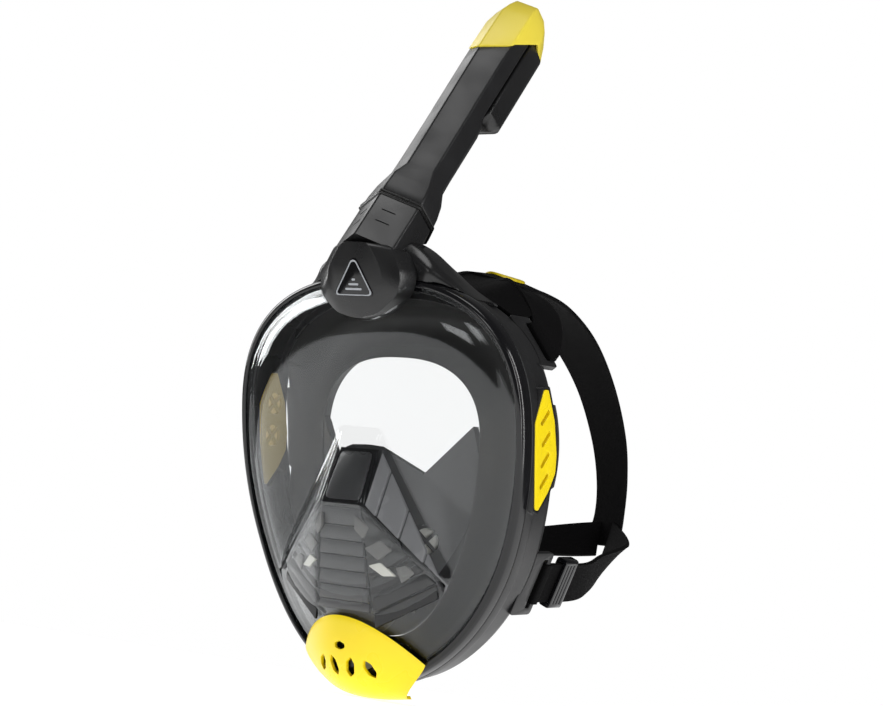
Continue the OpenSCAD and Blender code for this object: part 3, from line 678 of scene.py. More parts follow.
POCKET_SIDE = [(0, -10.5), (9, -11), (14, -13), (30, -24.5), (52.5, 4), (57, -32), (54, -66), (44, -92),
               (24, -116), (0, -122)]
POCKET_MID = np.array([0.0, -62.0])
POCKET_BACK, POCKET_INSET, POCKET_WALL, POCKET_LIP = 12.0, 10.0, 2.0, 5.0


def pocket_panel(x, z):
    return 66.2 - 1.122 * np.abs(x) - 0.15 * z


def pocket_height(x, z):
    web = 63.9 - 0.763 * np.abs(x) + 0.19 * z
    sides = smooth_max(pocket_panel(x, z), web, 0.8)
    return smooth_max(smooth_min(lens_height(x, z) - POCKET_INSET, sides, 0.8), POCKET_BACK + 1, 0.8)


def inside_opening(p):
    """Pulls a point in to just inside the lower face opening."""
    middle = np.array([0.0, OPENING_Z])
    k = math.hypot(p[0] / (OPENING_HALF_W - 0.4), (p[1] - OPENING_Z) / (OPENING_DROP - 0.4))
    return middle + (p - middle) / k if k > 1 else p


def build_pocket(mats):
    edge = divided(mirrored(POCKET_SIDE), 2.0)
    edge = np.array([inside_opening(p) for p in edge])
    shares = np.linspace(0, 1, 71)[1:]

    def skin(sink, pull):
        p = POCKET_MID + (edge[None] - POCKET_MID) * (shares * (1 - pull))[:, None, None]
        x, z = p[..., 0], p[..., 1]
        rows = np.stack([x, sink - pocket_height(x, z), z], -1)
        foot = POCKET_MID + (edge - POCKET_MID) * (1 - pull)
        lip = np.maximum(POCKET_BACK, pocket_height(edge[:, 0], edge[:, 1]) - POCKET_LIP)
        share = np.clip((edge[:, 1] + 60) / 30, 0, 1)
        foot = np.stack([foot[:, 0], -POCKET_BACK - (lip - POCKET_BACK) * share, foot[:, 1]], -1)
        return np.concatenate([rows, foot[None]])

    h0 = float(pocket_height(np.array(0.0), np.array(POCKET_MID[1])))
    pocket = two_skins("nose_cup", skin(0, 0), skin(POCKET_WALL, 0.035),
                       (0, -h0, POCKET_MID[1]), (0, POCKET_WALL - h0, POCKET_MID[1]), 30)
    for name, side in SIDES:
        cut(pocket, at_valve("hole_" + name, side, 9.05, -6, 6))
    dress(pocket, mats["pocket"], replaces=["nose_pocket"])


VALVE = (35.0, -61.0)


def valve_frame(side):
    """Matrix of the side valve: z along its outward axis."""
    x, z = VALVE
    y = -float(pocket_panel(np.array(x), np.array(z)))
    turn = Matrix.Rotation(math.radians(-42), 4, "Z") @ Matrix.Rotation(math.radians(84), 4, "Y")
    made = Matrix.Translation((x, y, z)) @ turn
    return Matrix.Scale(-1, 4, (1, 0, 0)) @ made if side < 0 else made


def at_valve(name, side, radius, low, high):
    place = valve_frame(side)
    return prism(name, circle(radius, 64), lambda u, v, w: tuple(place @ Vector((u, v, w))), (low, high))


# ---------- the grille inside the beak ----------

GRILLE_INSET = 4.2


def grille_plate(name, outline, height, side=1, lift=0.0, thick=1.2, edge=0.35, slope=None):
    """A thin moulded plate that lies behind one facet of the beak, over an outline of (x, z) points."""
    def put(x, z, w):
        raised = lift + (slope(x, z) if slope and w == 0 else 0.0)
        return (side * x, GRILLE_INSET - float(height(x, z)) - (raised if w == 0 else -w), z)

    plate = prism(name, outline, put, (0, thick))
    return soften(plate, edge, 25)


def crease_x(z):
    """Half width of the front facet at height z."""
    return 10.9 - 0.0763 * z


def upper_crease_z(x):
    """Where the lower and upper side facets meet."""
    return -29.5 - 0.968 * x


def build_grille(mats):
    base = [(0, -13), (12.5, -13), (14.6, -43.5), (33, -62), (38, -100), (19.5, -103), (0, -102)]
    back = grille_base("beak_back", base)
    dress(back, mats["gloss"], replaces=["beak_grille"])
    nose = rounded([(-10.6, -14.6), (10.6, -14.6), (12.0, -41.4), (-12.0, -41.4)], 3.5)
    fronts = [grille_plate("nose_plate", nose, lambda _, z: beak_nose(z), lift=0.4, edge=0.5)]
    steps = [-45.6, -55.5, -63.8, -72.0, -80.4, -88.8, -97.0, -102.2]
    for k, (top, low) in enumerate(zip(steps, steps[1:])):
        a, b = crease_x(top) - 1.3, crease_x(low) - 1.3
        outline = [(-a, top - 0.4), (a, top - 0.4), (b, low + 0.4), (-b, low + 0.4)]
        tilt = lambda x, z, top=top, low=low: 1.3 * (top - z) / (top - low)
        fronts.append(grille_plate(f"front_step_{k}", outline, lambda _, z: beak_front(z), slope=tilt))
    join_pieces(fronts[0], fronts[1:])
    fronts[0].name = "beak_front_steps"
    dress(fronts[0], mats["grille"])
    for name, side in SIDES:
        for label, plates, mat in (("steps", side_steps(name, side, beak_lower_side), "gloss"),
                                   ("louvres", side_louvres(name, side, beak_upper_side), "louvre"),
                                   ("panes", side_panes(name, side, beak_lower_side), "window"),
                                   ("block", side_block(name, side, beak_lower_side), "beige")):
            join_pieces(plates[0], plates[1:])
            plates[0].name = f"beak_{label}_{name}"
            dress(plates[0], mats[mat])


PANES = [[(11.4, -49), (18.6, -55.3), (15.6, -61.8), (11.2, -56.8)],
         [(16.2, -66.8), (24.4, -61.7), (30.1, -66.6), (23.1, -72.8)],
         [(32.2, -75.8), (37.3, -74.1), (41.6, -77.9), (35, -84.1)]]
BLOCK = [(18.3, -76), (24.2, -73.8), (32.1, -80.5), (25.5, -81.1)]


def side_panes(name, side, height):
    """Small smoky panes in a lower side facet."""
    return [grille_plate(f"pane_{name}_{k}", rounded(p, 0.8, steps=3), height, side, 1.7, 0.6, 0.2)
            for k, p in enumerate(PANES)]


def side_block(name, side, height):
    """The pale end of the outlet seen beside the panes."""
    return [grille_plate("block_" + name, rounded(BLOCK, 0.6, steps=3), height, side, 1.9, 0.6, 0.2)]


def join_pieces(first, others):
    """Puts the others' meshes into the first piece as they are."""
    work = bmesh.new()
    work.from_mesh(first.data)
    for other in others:
        work.from_mesh(other.data)
    work.to_mesh(first.data)
    work.free()
    for other in others:
        bpy.data.objects.remove(other)
    shade(first, 32)


def grille_base(name, half):
    """The dark sheet behind the ribs."""
    edge = divided(mirrored(half), 3.0)
    middle = np.array([0.0, -60.0])
    shares = np.linspace(0, 1, 41)[1:]
    p = middle + (edge[None] - middle) * shares[:, None, None]
    x, z = p[..., 0], p[..., 1]
    h = np.minimum(beak(x, z, 0.3), lens_height(x, z))
    front = np.stack([x, GRILLE_INSET + 0.8 - h, z], -1)
    back = np.stack([x, GRILLE_INSET + 2.0 - h, z], -1)
    y0 = GRILLE_INSET - float(beak(np.array(0.0), np.array(-60.0)))
    return two_skins(name, front, back, (0, y0 + 0.8, -60), (0, y0 + 2.0, -60), 30)


STEP_SLOPE = 0.6        # how the lower side steps climb outwards


def side_steps(name, side, height):
    """Stepped strips on a lower side facet, from the front facet out to the crease above."""
    starts = [-49.0, -61.0, -72.0, -83.0, -93.5, -103.0, -112.0]
    made = []
    for k, (top, low) in enumerate(zip(starts, starts[1:])):
        def line(z0, x):
            return z0 + STEP_SLOPE * (x - 18)

        def outer(z0):
            x = (-29.5 - 1.2 - z0 + STEP_SLOPE * 18) / (STEP_SLOPE + 0.968)
            return x - 1.2
        inner_top, inner_low = crease_x(top) + 1.2, crease_x(low) + 1.2
        far_top, far_low = min(outer(top), 53), min(outer(low), 53)
        corners = [(inner_top, line(top, inner_top) - 0.4), (far_top, line(top, far_top) - 0.4),
                   (far_low, line(low, far_low) + 0.4), (inner_low, line(low, inner_low) + 0.4)]
        if far_top <= inner_top:
            continue
        outline = rounded(corners, 1.2, steps=3)
        drop = top - low
        tilt = lambda x, z, top=top, drop=drop: 1.2 * min(1, max(0, (line(top, x) - z) / drop))
        made.append(grille_plate(f"step_{name}_{k}", outline, height, side, slope=tilt))
    return made


def side_louvres(name, side, height):
    """Tilted strips on an upper side facet, divided by grooves along the nose."""
    edges = [15.4, 21.5, 33.0, 45.2, 56.8]
    made = []
    for k, (a, b) in enumerate(zip(edges, edges[1:])):
        def top(x):
            return -13.8 - 1.745 * (x - 15.3)

        def low(x):
            return upper_crease_z(x) + 1.2
        near, far = a + 0.3, b - 0.3
        outline = [(near, top(near)), (far, top(far)), (far, low(far)), (near, low(near))]
        tilt = lambda x, z, a=a, b=b: 1.3 * (x - a) / (b - a)
        made.append(grille_plate(f"louvre_{name}_{k}", outline, height, side, slope=tilt))
    return made


# ---------- chin cover ----------

def cover_point(u, f):
    """Outside of the chin cover: u runs across it from -1 to 1, f from its arch round to the back."""
    x0 = 42 * u
    x = x0 * (1 - 0.43 * math.sin(f) ** 1.2)
    z0 = CHIN_ARCH_Z - CHIN_ARCH_BEND * x0 * x0
    h0 = 62.5 - 0.0141 * x0 * x0
    z1 = -152 + 0.004 * x * x
    y = -(22 + (h0 - 22) * max(0.0, math.cos(f)) ** 0.8)
    return np.array([x, y, z0 - 0.6 + (z1 - z0) * math.sin(f) ** 0.8])


def build_chin_cover(mats):
    heart = np.array([0.0, -24.0, -116.0])
    us = np.linspace(-1, 1, 49)
    fs = np.linspace(0.0, math.pi / 2, 33)
    outer = np.array([[cover_point(u, f) for u in us] for f in fs])
    toward = heart - outer
    inner = outer + 2.2 * toward / np.linalg.norm(toward, axis=-1, keepdims=True)
    n, m = outer.shape[:2]
    points = np.vstack([outer.reshape(-1, 3), inner.reshape(-1, 3)])
    far = n * m
    faces = quads(n, m) + [tuple(reversed(f)) for f in quads(n, m, base=far)]
    border = list(range(m)) + [i * m + m - 1 for i in range(1, n)]
    border += [(n - 1) * m + j for j in range(m - 2, -1, -1)] + [i * m for i in range(n - 2, 0, -1)]
    faces += [(a, b, far + b, far + a) for a, b in zip(border, border[1:] + border[:1])]
    cover = new_piece("chin_guard", points, faces, 40)
    slots = [(side * 5.5, -133, side * 12, 5, 12) for side in (1, -1)]
    slots += [(side * 16, -133, side * -24, 5, 11) for side in (1, -1)]
    slots.append((0, -121.5, 0, 7, 5))
    for x, z, turn, w, h in slots:
        half = [(0, h / 2), (w / 2, h / 5), (w / 2, -h / 4), (0, -h / 2)]
        outline = rounded(mirrored(half), 0.8, steps=3)
        c, s = math.cos(math.radians(turn)), math.sin(math.radians(turn))
        hole = prism("slot", outline, lambda u, v, y: (x + c * u + s * v, y, z - s * u + c * v), (-70, -26))
        cut(cover, hole)
    dress(soften(cover, 0.4, 45), mats["yellow"], replaces=["chin_cover"])


# ---------- socket and snorkel ----------

def on_snorkel(points):
    """Points in the snorkel's own axes, z along the tube, moved to their place."""
    p = np.asarray(points, float)
    c, s = math.cos(SNORKEL_LEAN), math.sin(SNORKEL_LEAN)
    x, y, z = p[..., 0], p[..., 1], p[..., 2]
    return np.stack([x, SNORKEL_SEAT[1] + c * y + s * z, SNORKEL_SEAT[2] - s * y + c * z], -1)


def snorkel_point(x, y, z):
    return tuple(on_snorkel((x, y, z)))


def section(f, w, corner, side, b, radius=1.2):
    """The snorkel's section: front ridge at -f, corners at half width w, back at b, with rounded corners."""
    half = [(0, -f), (w, -corner), (w, side), (0.55 * w, b)]
    return rounded(mirrored(half), radius)


COLLAR = (21, 20.5, 8.7, 8, 18)
BORE_R = 15.5


def build_socket(mats):
    lobe_back = [(0, 58), (16, 62), (29, 73), (31, 84), (24, 97)]
    lobe_mid = [(0, 58), (14, 61), (26, 71), (28, 82), (19, 99)]
    face = [(0, 0), (12, 2), (19, 10), (18, 22), (9, 36)]
    lean = math.radians(9)

    def on_face(u, v, w=0.0):
        c, s = math.cos(lean), math.sin(lean)
        return (u, -72.4 - s * v - c * w, 64 + c * v - s * w)

    rings = []
    for half, put in ((lobe_back, lambda u, v: (u, -58.6, v)), (lobe_mid, lambda u, v: (u, -70, v)),
                      (face, lambda u, v: on_face(u, v, 0.2))):
        outline = rounded(mirrored(half), 4.0, steps=5)
        rings.append([put(u, v) for u, v in outline])
    lobe = swept("socket_body", np.array(rings), ends=True, sharp=40)
    soften(lobe, 0.9, 30, 3)
    collar = swept("collar", on_snorkel([level_ring(section(*COLLAR), z) for z in (-36, -4)]), ends=True)
    saddle = build_saddle()
    join(lobe, collar, saddle)
    bore = prism("bore", circle(BORE_R, 96), snorkel_point, (-26, 14))
    cut(lobe, frame_space("band"), bore)
    for _, side in SIDES:
        for z in (-13.5, -22.0):
            cut(lobe, collar_slot(side, z))
    dress(soften(lobe, 0.5, 32), mats["satin"], replaces=["socket"])

    half = [(0, 6), (12.2, 6), (13.3, 7.6), (1.6, 27)]
    outline = rounded(mirrored(half), 1.6, steps=4)
    plate = prism("badge_plate", outline, on_face, (0.1, 0.75))
    dress(soften(plate, 0.2, 30), mats["gloss"], replaces=["socket_badge"])
    middle = np.array([0.0, 13.4])
    ring = []
    for scale, w in ((0.93, 0.7), (0.93, 1.0), (0.86, 1.0), (0.86, 0.7)):
        ring.append([on_face(*(middle + (np.array(p) - middle) * scale), w) for p in outline])
    line = swept("badge_line", np.array(ring), sharp=30)
    dress(line, mats["badge"])
    bars = []
    for k in range(3):
        u, v = 5.5 - 2.2 * k, 9.5 + 2.6 * k
        outline = [(-u, v), (u, v), (u, v + 1.1), (-u, v + 1.1)]
        bars.append(prism(f"bar_{k}", rounded(outline, 0.5, steps=3), on_face, (0.7, 1.0)))
    join_pieces(bars[0], bars[1:])
    bars[0].name = "badge_mark"
    dress(bars[0], mats["badge"])


SADDLE_BASE = 3.3


def build_saddle():
    rings = []
    for d in np.arange(56, 125, 1.0):
        t = math.radians(d)
        y0 = float(rim_y(rim(t)[1]))
        share = max(0.0, 1 - ((d - 90) / 36) ** 2) ** 4
        h = 2 + 21.4 * share
        lead = BEZEL_D + 0.5 - 9.5 * min(1.0, 2.5 * share)
        path = rounded([(0, lead), (0.7 * h, lead - 1), (h, lead + 4), (h, 18), (0.7 * h, 31), (0, 32)],
                       2.5, steps=5)
        ring = []
        for off, back in path:
            x, z = rim(t, SADDLE_BASE + off)
            ring.append((float(x), y0 + back, float(z)))
        rings.append(ring)
    return swept("saddle", rings, ends=True, sharp=45)


def frame_space(name):
    """The space that the bezel and the frame fill, for cutting what fits round them."""
    profile = [(-3, -1.8), (2.4, -1.8), (5.15, 1.2), (5.15, BEZEL_D + 0.2), (4.95, 16.1), (3.35, 18.1),
               (3.15, FRAME_D - 4.9), (1.35, FRAME_D + 0.1), (-3, FRAME_D + 0.1)]
    return swept(name, rim_rings(profile, 180))


def collar_slot(side, z):
    """A short engraved slot on a front facet of the collar."""
    a, b = np.array([0.0, -21.0]), np.array([20.5, -8.7])
    along = (b - a) / np.linalg.norm(b - a)
    out = np.array([along[1], -along[0]])
    ends = [(6.0, z + 0.45), (14.5, z + 0.45), (14.5, z - 0.45), (6.0, z - 0.45)]

    def put(u, v, w):
        p = a + along * u + out * w
        return snorkel_point(side * p[0], p[1], v)

    return prism("slot", rounded(ends, 0.4, steps=3), put, (-0.5, 2.0))


def build_seal(mats):
    """The rubber ring between socket and snorkel, with two beads."""
    beads = ((-3.8, 0.99), (-3.7, 1.03), (-3.1, 1.06), (-2.5, 1.05), (-2.15, 1.0),
             (-1.9, 1.0), (-1.6, 1.05), (-1.0, 1.06), (-0.4, 1.03), (-0.3, 0.99))
    rows = [level_ring(section(*[v * grow for v in COLLAR]), z) for z, grow in beads]
    rows += [level_ring(matching_circle(section(*COLLAR), 15.8), z) for z in (-0.3, -3.8)]
    seal = swept("snorkel_seal", on_snorkel(rows), sharp=60)
    dress(seal, mats["rubber"], "snorkel", ["socket_seal"])


def level_ring(outline, z):
    """The outline as a ring of points at height z of the snorkel."""
    return np.c_[outline, np.full(len(outline), float(z))]


def matching_circle(outline, radius):
    """A circle with one point for each of the outline's, in the same direction."""
    angles = [math.atan2(y, x) for x, y in outline]
    return [(radius * math.cos(a), radius * math.sin(a)) for a in angles]


TUBE_ROWS = [(0, 21.2, 20.7, 8.8, 8, 18), (6, 21, 20.4, 8.8, 8, 18), (15, 20.6, 19, 8.7, 7, 17),
             (27, 16, 15.2, 8.5, 5, 13.4), (40, 16, 15, 8.5, 5, 13), (80, 16.8, 15, 8.8, 5, 13),
             (84, 16.9, 15, 9, 2, 4.6), (124, 17.6, 15.2, 9.5, 2, 4.6)]
TUBE_WALL, CAP_WALL = 1.8, 1.6


def cap_edge(x, y, back=160.0):
    """Height of the cap's zigzag lower edge at a point of its section."""
    ax = abs(x)
    if y < -0.5:
        front = 128.5 + 6.0 * min(1.0, ax / 7.9)
        flank = 134.5 + 2.5 * max(0.0, min(1.0, (ax - 7.9) / 7.6))
        lower = front if ax < 7.9 else flank
        rise = max(0.0, (y + 10) / 9.5)
        return lower + (back - 2 - lower) * min(1.0, rise) if ax > 13 else lower
    return back


def build_tube(mats):
    def smaller(row, by):
        return (row[0], row[1] - 1.2 * by, row[2] - by, row[3] - 0.4 * by, row[4] - 0.4 * by, row[5] - by)

    rings = []
    for row in TUBE_ROWS:
        rings.append(level_ring(section(*row[1:]), row[0]))
    last = TUBE_ROWS[-1]
    for by in (0.0, TUBE_WALL):
        ring = section(*smaller(last, by)[1:])
        rings.append(np.c_[ring, [min(cap_edge(x, y) - 0.3, 157.0) for x, y in ring]])
    for row in reversed(TUBE_ROWS[1:]):
        rings.append(level_ring(section(*smaller(row, TUBE_WALL)[1:]), row[0]))
    outline = section(*TUBE_ROWS[0][1:])
    for radius, z in ((13.4, 0), (13.4, -20), (15.45, -20), (15.45, 0)):
        rings.append(level_ring(matching_circle(outline, radius), z))
    tube = swept("snorkel_shaft", on_snorkel(rings), sharp=30)
    dress(soften(tube, 0.35, 32), mats["matt"], "snorkel", ["snorkel_tube"])


def build_cap(mats):
    base = (0, 18.6, 15.9, 10, 9, 24.6)
    rows = [(163, 18.2, 15.8, 9.6, 9, 25), (173, 15, 14.6, 8, 8, 21), (179.5, 12, 12.4, 5, 5, 14)]

    def ring(row, by, z):
        outline = section(row[1] - 1.2 * by, row[2] - by, row[3] - 0.4 * by, row[4] - 0.4 * by, row[5] - by)
        return np.c_[outline, z(outline)] if callable(z) else level_ring(outline, z)

    edge = lambda outline: [cap_edge(x, y) for x, y in outline]
    rings = [ring(row, CAP_WALL, row[0] - CAP_WALL) for row in reversed(rows)]
    rings += [ring(base, CAP_WALL, edge), ring(base, 0, edge)] + [ring(row, 0, row[0]) for row in rows]
    cap = swept("cap_shell", on_snorkel(rings), ends=True, sharp=30)
    dress(soften(cap, 0.8, 20, 3), mats["cap"], "snorkel", ["dry_top_cap"])


def hull_piece(name, points):
    work = bmesh.new()
    for p in points:
        work.verts.new(Vector(p) * MM)
    bmesh.ops.convex_hull(work, input=work.verts)
    loose = [v for v in work.verts if not v.link_faces]
    bmesh.ops.delete(work, geom=loose, context="VERTS")
    bmesh.ops.dissolve_limit(work, angle_limit=0.02, verts=work.verts, edges=work.edges)
    mesh = bpy.data.meshes.new(name)
    work.to_mesh(mesh)
    work.free()
    piece = add_object(name, mesh)
    shade(piece, 30)
    return piece


def build_housing(mats):
    points = []
    for x0 in (-6.5, 6.5):
        points += [(x, y, z) for x, y in circle(7, 48, x0, 17) for z in (97, 159)]
    for x0 in (-12.5, 12.5):
        points += [(x, y, z) for x, y in circle(1.4, 16, x0, 6.4) for z in (95, 159)]
    points += [(x, y, z) for x in (-9, 9) for y in (7, 16) for z in (90, 100)]
    housing = hull_piece("float_case", on_snorkel(points))
    cut(housing, prism("chamber", circle(7.8, 72, 0, 14.2), snorkel_point, (96, 174)))
    for k in range(5):
        z = 104 + 10.5 * k
        slot = rounded([(-5, z), (5, z), (5, z + 5), (-5, z + 5)], 1.2, steps=3)
        cutter = prism("slot", slot, lambda u, v, w: snorkel_point(u, w, v), (20, 28))
        cut(housing, cutter)
    dress(soften(housing, 0.6, 32), mats["satin"], "snorkel", ["float_housing"])


# ---------- side vents, clips and strap ----------

def build_vents(mats):
    for name, side in SIDES:
        cover = vent_block("vent_grill_" + name, side, 95.6, 99.0, -0.15, 1.4)
        c, s = math.cos(VENT_SLOT_TURN), math.sin(VENT_SLOT_TURN)
        for k, y in enumerate(VENT_SLOTS):
            z = 11.5 - 11.4 * k
            corners = rounded([(-1.2, -5.5), (1.2, -5.5), (1.2, 5.5), (-1.2, 5.5)], 1.0, steps=3)
            outline = [(y + c * u + s * v, z - s * u + c * v) for u, v in corners]
            cut(cover, prism("slot", outline, lambda u, v, w: (side * w, u, v), (94, 101)))
        dress(soften(cover, 0.7, 40, 3), mats["yellow"], replaces=["vent_cover_" + name])


# Centre, tilt in degrees and half height of each clip
UPPER_LUG = ((79, -9.5, 52.5), -38, 17)
LOWER_LUG = ((78.2, 9.5, -80), 21, 19)


def tilted(centre, tilt, side):
    """Puts points of a clip's own axes in their place."""
    turn = Matrix.Rotation(math.radians(tilt), 4, "Y")

    def put(x, y, z):
        p = turn @ Vector((x, y, z))
        return (side * (centre[0] + p.x), centre[1] + p.y, centre[2] + p.z)
    return put


def box_outline(low, high, half):
    """A rectangle from low to high, and half to each side of the middle."""
    return [(low, -half), (high, -half), (high, half), (low, half)]


def build_lugs(mats):
    for level, (centre, tilt, half) in (("upper", UPPER_LUG), ("lower", LOWER_LUG)):
        for name, side in SIDES:
            put = tilted(centre, tilt, side)
            outline = rounded(box_outline(-14, 6.5, half), 2.5)
            lug = prism(f"{level}_buckle_{name}", outline, lambda y, z, x: put(x, y, z), (-1.6, 1.6))
            slot = rounded(box_outline(-1.6, 2.8, half - 4), 1.0, steps=3)
            cutter = prism("slot", slot, lambda y, z, x: put(x, y, z), (-4, 4))
            cut(lug, cutter, frame_space("band"))
            dress(soften(lug, 0.45, 35), mats["matt"], replaces=[f"{level}_clip_{name}"])


def between(a, b):
    """A band's row (centre, direction across, width) from its two edges."""
    a, b = np.array(a, float), np.array(b, float)
    return (*((a + b) / 2), *(b - a), float(np.linalg.norm(b - a)))


# Half of the crown band: y, z of its middle line, half width, z of its edge
CROWN_LINE = [(34, 95.5, 33, 88.5), (58, 96.5, 25, 88.85), (90, 95, 21, 88.55), (125, 84.5, 19, 82),
              (162, 66, 17, 65), (194, 38, 14.5, 38), (216, 6, 13, 6), (225, -22, 11.5, -22),
              (225, -46, 11, -46), (218, -66, 13, -66)]
# Rows of centre, direction across and width
UPPER_ROWS = [(79, -2.2, 52.5, -0.616, 0, 0.788, 25), (73, 7, 61, -0.62, -0.1, 0.78, 34),
              (56, 24, 77, -0.5, -0.55, 0.55, 40), (38, 38, 85, -0.3, -0.9, 0.25, 40), (18, 46, 90.5, 0, -1, 0, 30)]
LOWER_ROWS = [(78.2, 16.7, -80, 0.358, 0, 0.934, 24), (78.2, 58, -80, 0.358, 0, 0.934, 24),
              (73, 84, -76, 0.3, 0.15, 0.92, 24), (58, 128, -71, 0.5, 0.3, 0.75, 24),
              (34, 174, -67, 0.6, 0.4, 0.6, 24), (4, 219.4, -62, 0.1, 0.33, 0.94, 24)]
# The wide front of the strap, from behind the frame to the upper arm and the crown
SHOULDER_ROWS = [between((67.6, 2.5, 67.8), (66, -16.5, 66.2)), between((62.8, 6.5, 73.2), (58, -17.5, 71)),
                 between((46.5, 13.5, 87.2), (46, -18, 76.5)), between((32.5, 22, 89.3), (32, -18, 79.8)),
                 between((16, 36, 91.8), (15, -18, 82)), between((-2, 36, 95.3), (-2, -18, 83))]


BAND_HALF = [(-0.5, -0.28), (-0.485, -0.5), (-0.44, -0.46), (-0.25, -0.42), (0, -0.42),
             (0.25, -0.42), (0.44, -0.46), (0.485, -0.5), (0.5, -0.28)]
BAND_SECTION = np.array(BAND_HALF + [(-u, -v) for u, v in BAND_HALF])


def webbing(name, rows, side, count):
    """A woven band through rows of (centre, direction across, width), with a raised selvedge at its edges."""
    line = smooth_line(rows, count)
    rings = []
    for i in range(count):
        c = line[i, :3]
        w = line[i, 3:6] / np.linalg.norm(line[i, 3:6])
        along = line[min(i + 1, count - 1), :3] - line[max(i - 1, 0), :3]
        up = np.cross(along, w)
        up /= np.linalg.norm(up)
        ring = c + BAND_SECTION[:, :1] * w * line[i, 6] + BAND_SECTION[:, 1:] * up * STRAP_T
        rings.append(ring * (side, 1, 1))
    band = swept(name, rings, ends=True, sharp=50)
    lay_weave(band, line, side)
    return band


def lay_weave(band, line, side):
    """Coordinates for the weave in millimetres: u along the band, v across it."""
    lengths = np.r_[0, np.cumsum(np.linalg.norm(np.diff(line[:, :3], axis=0), axis=1))]
    mesh = band.data
    layer = mesh.uv_layers.new(name="band")
    places = np.array([v.co for v in mesh.vertices]) / MM * (side, 1, 1)
    nearest = np.argmin(np.linalg.norm(places[:, None] - line[None, :, :3], axis=2), axis=1)
    w = line[nearest, 3:6] / np.linalg.norm(line[nearest, 3:6], axis=1, keepdims=True)
    offset = places - line[nearest, :3]
    v = np.sum(offset * w, axis=1)
    for loop in mesh.loops:
        i = loop.vertex_index
        layer.data[loop.index].uv = (lengths[nearest[i]], v[i])


def crown_place(line, s):
    """Point of the crown's middle surface: line is its row, s runs from -1 to 1 across it."""
    y, ridge, half, edge = line
    drop = (math.sqrt(s * s + 0.02) - math.sqrt(0.02)) / (math.sqrt(1.02) - math.sqrt(0.02))
    return np.array([s * half, y, ridge - (ridge - edge) * drop])


def build_crown(mats):
    """The arched band over the head, with a raised selvedge at each edge."""
    rows = [(0, y, ridge, half, edge, 0, 0) for y, ridge, half, edge in CROWN_LINE]
    line = smooth_line(rows, 120)[:, 1:5]
    edge = [(-1, 0.6), (-0.985, 1.0), (-0.95, 0.95)]
    inside = [(s, 0.85) for s in (-0.8, -0.6, -0.4, -0.2, -0.08, 0, 0.08, 0.2, 0.4, 0.6, 0.8)]
    across, thick = zip(*(edge + inside + [(-s, h) for s, h in reversed(edge)]))
    sheet = np.array([[crown_place(row, s) for s in across] for row in line])
    along = np.gradient(sheet, axis=0)
    normal = np.cross(np.gradient(sheet, axis=1), along)
    normal /= np.linalg.norm(normal, axis=2, keepdims=True)
    lift = normal * np.array(thick)[:, None] * STRAP_T / 2
    rings = np.concatenate([sheet + lift, (sheet - lift)[:, ::-1]], axis=1)
    crown = swept("crown_band", rings, ends=True, sharp=50)
    lay_weave(crown, np.c_[line[:, 0] * 0, line[:, 0], line[:, 3], np.tile([1, 0, 0, 0], (120, 1))], 1)
    dress(crown, mats["webbing"], replaces=["strap"])


def build_strap(mats):
    build_crown(mats)
    for name, side in SIDES:
        for part, rows, count in (("shoulder", SHOULDER_ROWS, 60), ("upper_arm", UPPER_ROWS, 60),
                                  ("lower_web", LOWER_ROWS, 110)):
            dress(webbing(f"{part}_{name}", rows, side, count), mats["webbing"])
        for level, lug, width in (("upper", UPPER_LUG, ARM_W), ("lower", LOWER_LUG, WEB_W)):
            put = tilted(lug[0], lug[1], side)
            outer = rounded([(-3.2, 1.5), (3.2, 1.5), (3.2, 7.9), (-3.2, 7.9)], 1.4, steps=4)
            inner = rounded([(-1.9, 2.8), (1.9, 2.8), (1.9, 6.6), (-1.9, 6.6)], 0.5, steps=4)
            rings = [[put(u, v, z) for u, v in path] for path, z in
                     ((outer, -width / 2), (outer, width / 2), (inner, width / 2), (inner, -width / 2))]
            fold = swept(f"{level}_fold_{name}", rings, sharp=50)
            dress(fold, mats["webbing"])


PATCH_Y, PATCH_LIFT = 74.0, 1.45        # middle of the patch, and its height over the crown's middle surface
PATCH_HALF = (12.0, 15.6)


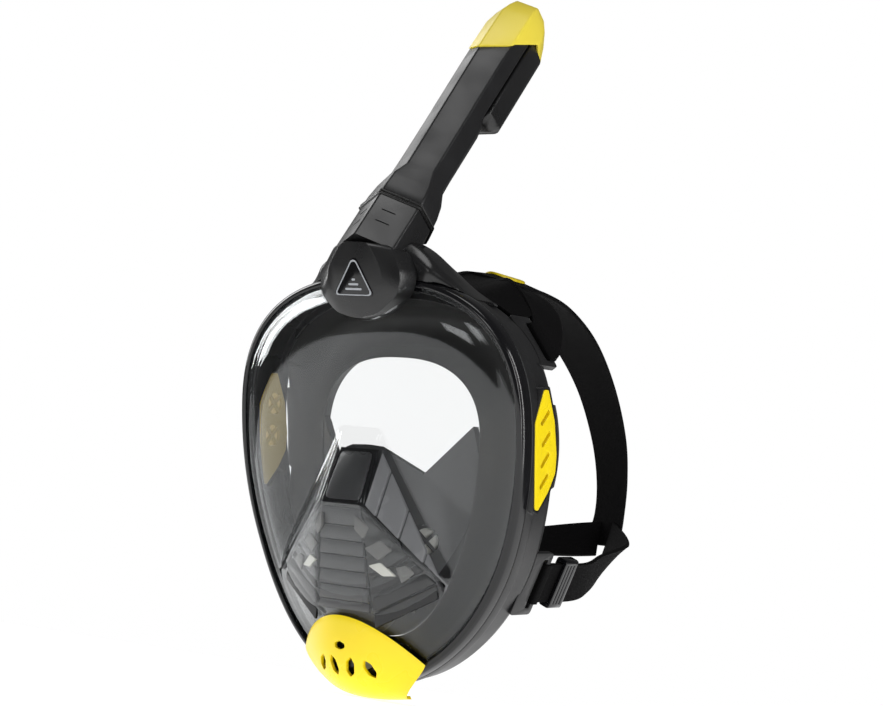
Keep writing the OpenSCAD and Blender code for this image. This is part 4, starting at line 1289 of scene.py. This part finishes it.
def build_patch(mats):
    """The soft yellow patch that lies over the crown, an oval with plain sunk marks."""
    first, second = CROWN_LINE[1], CROWN_LINE[2]

    def put(u, v, w):
        share = (PATCH_Y + v - first[0]) / (second[0] - first[0])
        row = [a + (b - a) * share for a, b in zip(first, second)]
        x, y, z = crown_place(row, u / row[2])
        return (x, y, z + PATCH_LIFT + w)

    levels = [(0.15, 0.0), (0.4, 0.0), (0.7, 0.0), (1.0, 0.0), (1.0, 1.0), (0.97, 1.3)]
    levels += [(k, 1.35) for k in (0.9, 0.75, 0.6, 0.45, 0.3, 0.15)]
    half_w, half_l = PATCH_HALF
    angles = np.linspace(0, 2 * math.pi, 96, endpoint=False)
    rings = [[put(half_w * k * math.cos(a), half_l * k * math.sin(a), w) for a in angles] for k, w in levels]
    patch = swept("crown_patch", rings, ends=True, sharp=50)
    holes = []
    for k in range(3):
        y = -6 + 6 * k
        arrow = [(-6.5, y - 2.2), (0, y - 0.4), (6.5, y - 2.2), (6.5, y - 0.4), (0, y + 1.6), (-6.5, y - 0.4)]
        outline = rounded(arrow, 0.6, steps=3)
        holes.append(prism("groove", outline, put, (0.9, 3.0)))
    cut(patch, *holes)
    dress(patch, mats["yellow_soft"], replaces=["strap_patch"])


SLIDER_PLACE = (78.2, 30, -80)
WEB_W, ARM_W = 24, 25           # widths of the lower webs and the upper arms


def build_sliders(mats):
    for name, side in SIDES:
        put = tilted(SLIDER_PLACE, LOWER_LUG[1], side)
        half = WEB_W / 2 + 3
        outline = rounded(box_outline(-3.6, 3.6, half), 1.8)
        body = prism("web_slider_" + name, outline, lambda x, z, y: put(x, y, z), (0, 13))
        slot = box_outline(-1.6, 1.6, WEB_W / 2 + 0.4)
        cut(body, prism("slot", slot, lambda x, z, y: put(x, y, z), (-1, 14)))
        for y in (3.2, 6.4, 9.6):
            groove = box_outline(y - 0.5, y + 0.5, WEB_W / 2)
            cut(body, prism("groove", groove, lambda u, v, w: put(w, u, v), (3.1, 5)))
        dress(soften(body, 0.5, 40), mats["gloss"], "slider_" + name, ["strap_slider_" + name])


# ---------- CAD nodes that stay as they are ----------

def dress_cad(mats):
    """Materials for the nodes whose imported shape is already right."""
    wanted = {"pocket_seat": "pocket", "pocket_flap": "flap", "purge_seat": "gloss", "purge_flap": "flap",
              "side_valve_seat": "amber_seat", "side_flap": "amber", "socket_screws": "steel",
              "tube_divider": "gloss", "float": "foam", "float_seal": "rubber"}
    for name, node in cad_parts.items():
        keys = [k for k in wanted if name == k or name.startswith(k + "_")]
        if keys:
            node.data.materials.clear()
            node.data.materials.append(mats[wanted[max(keys, key=len)]])


make_camera()
light_scene()
make_floor()
materials = make_materials()
dress_cad(materials)
for build in (build_lens, build_bezel, build_frame, build_skirt, build_pocket, build_grille, build_chin_cover,
              build_socket, build_seal, build_tube, build_cap, build_housing, build_vents, build_lugs,
              build_strap, build_patch, build_sliders):
    build(materials)
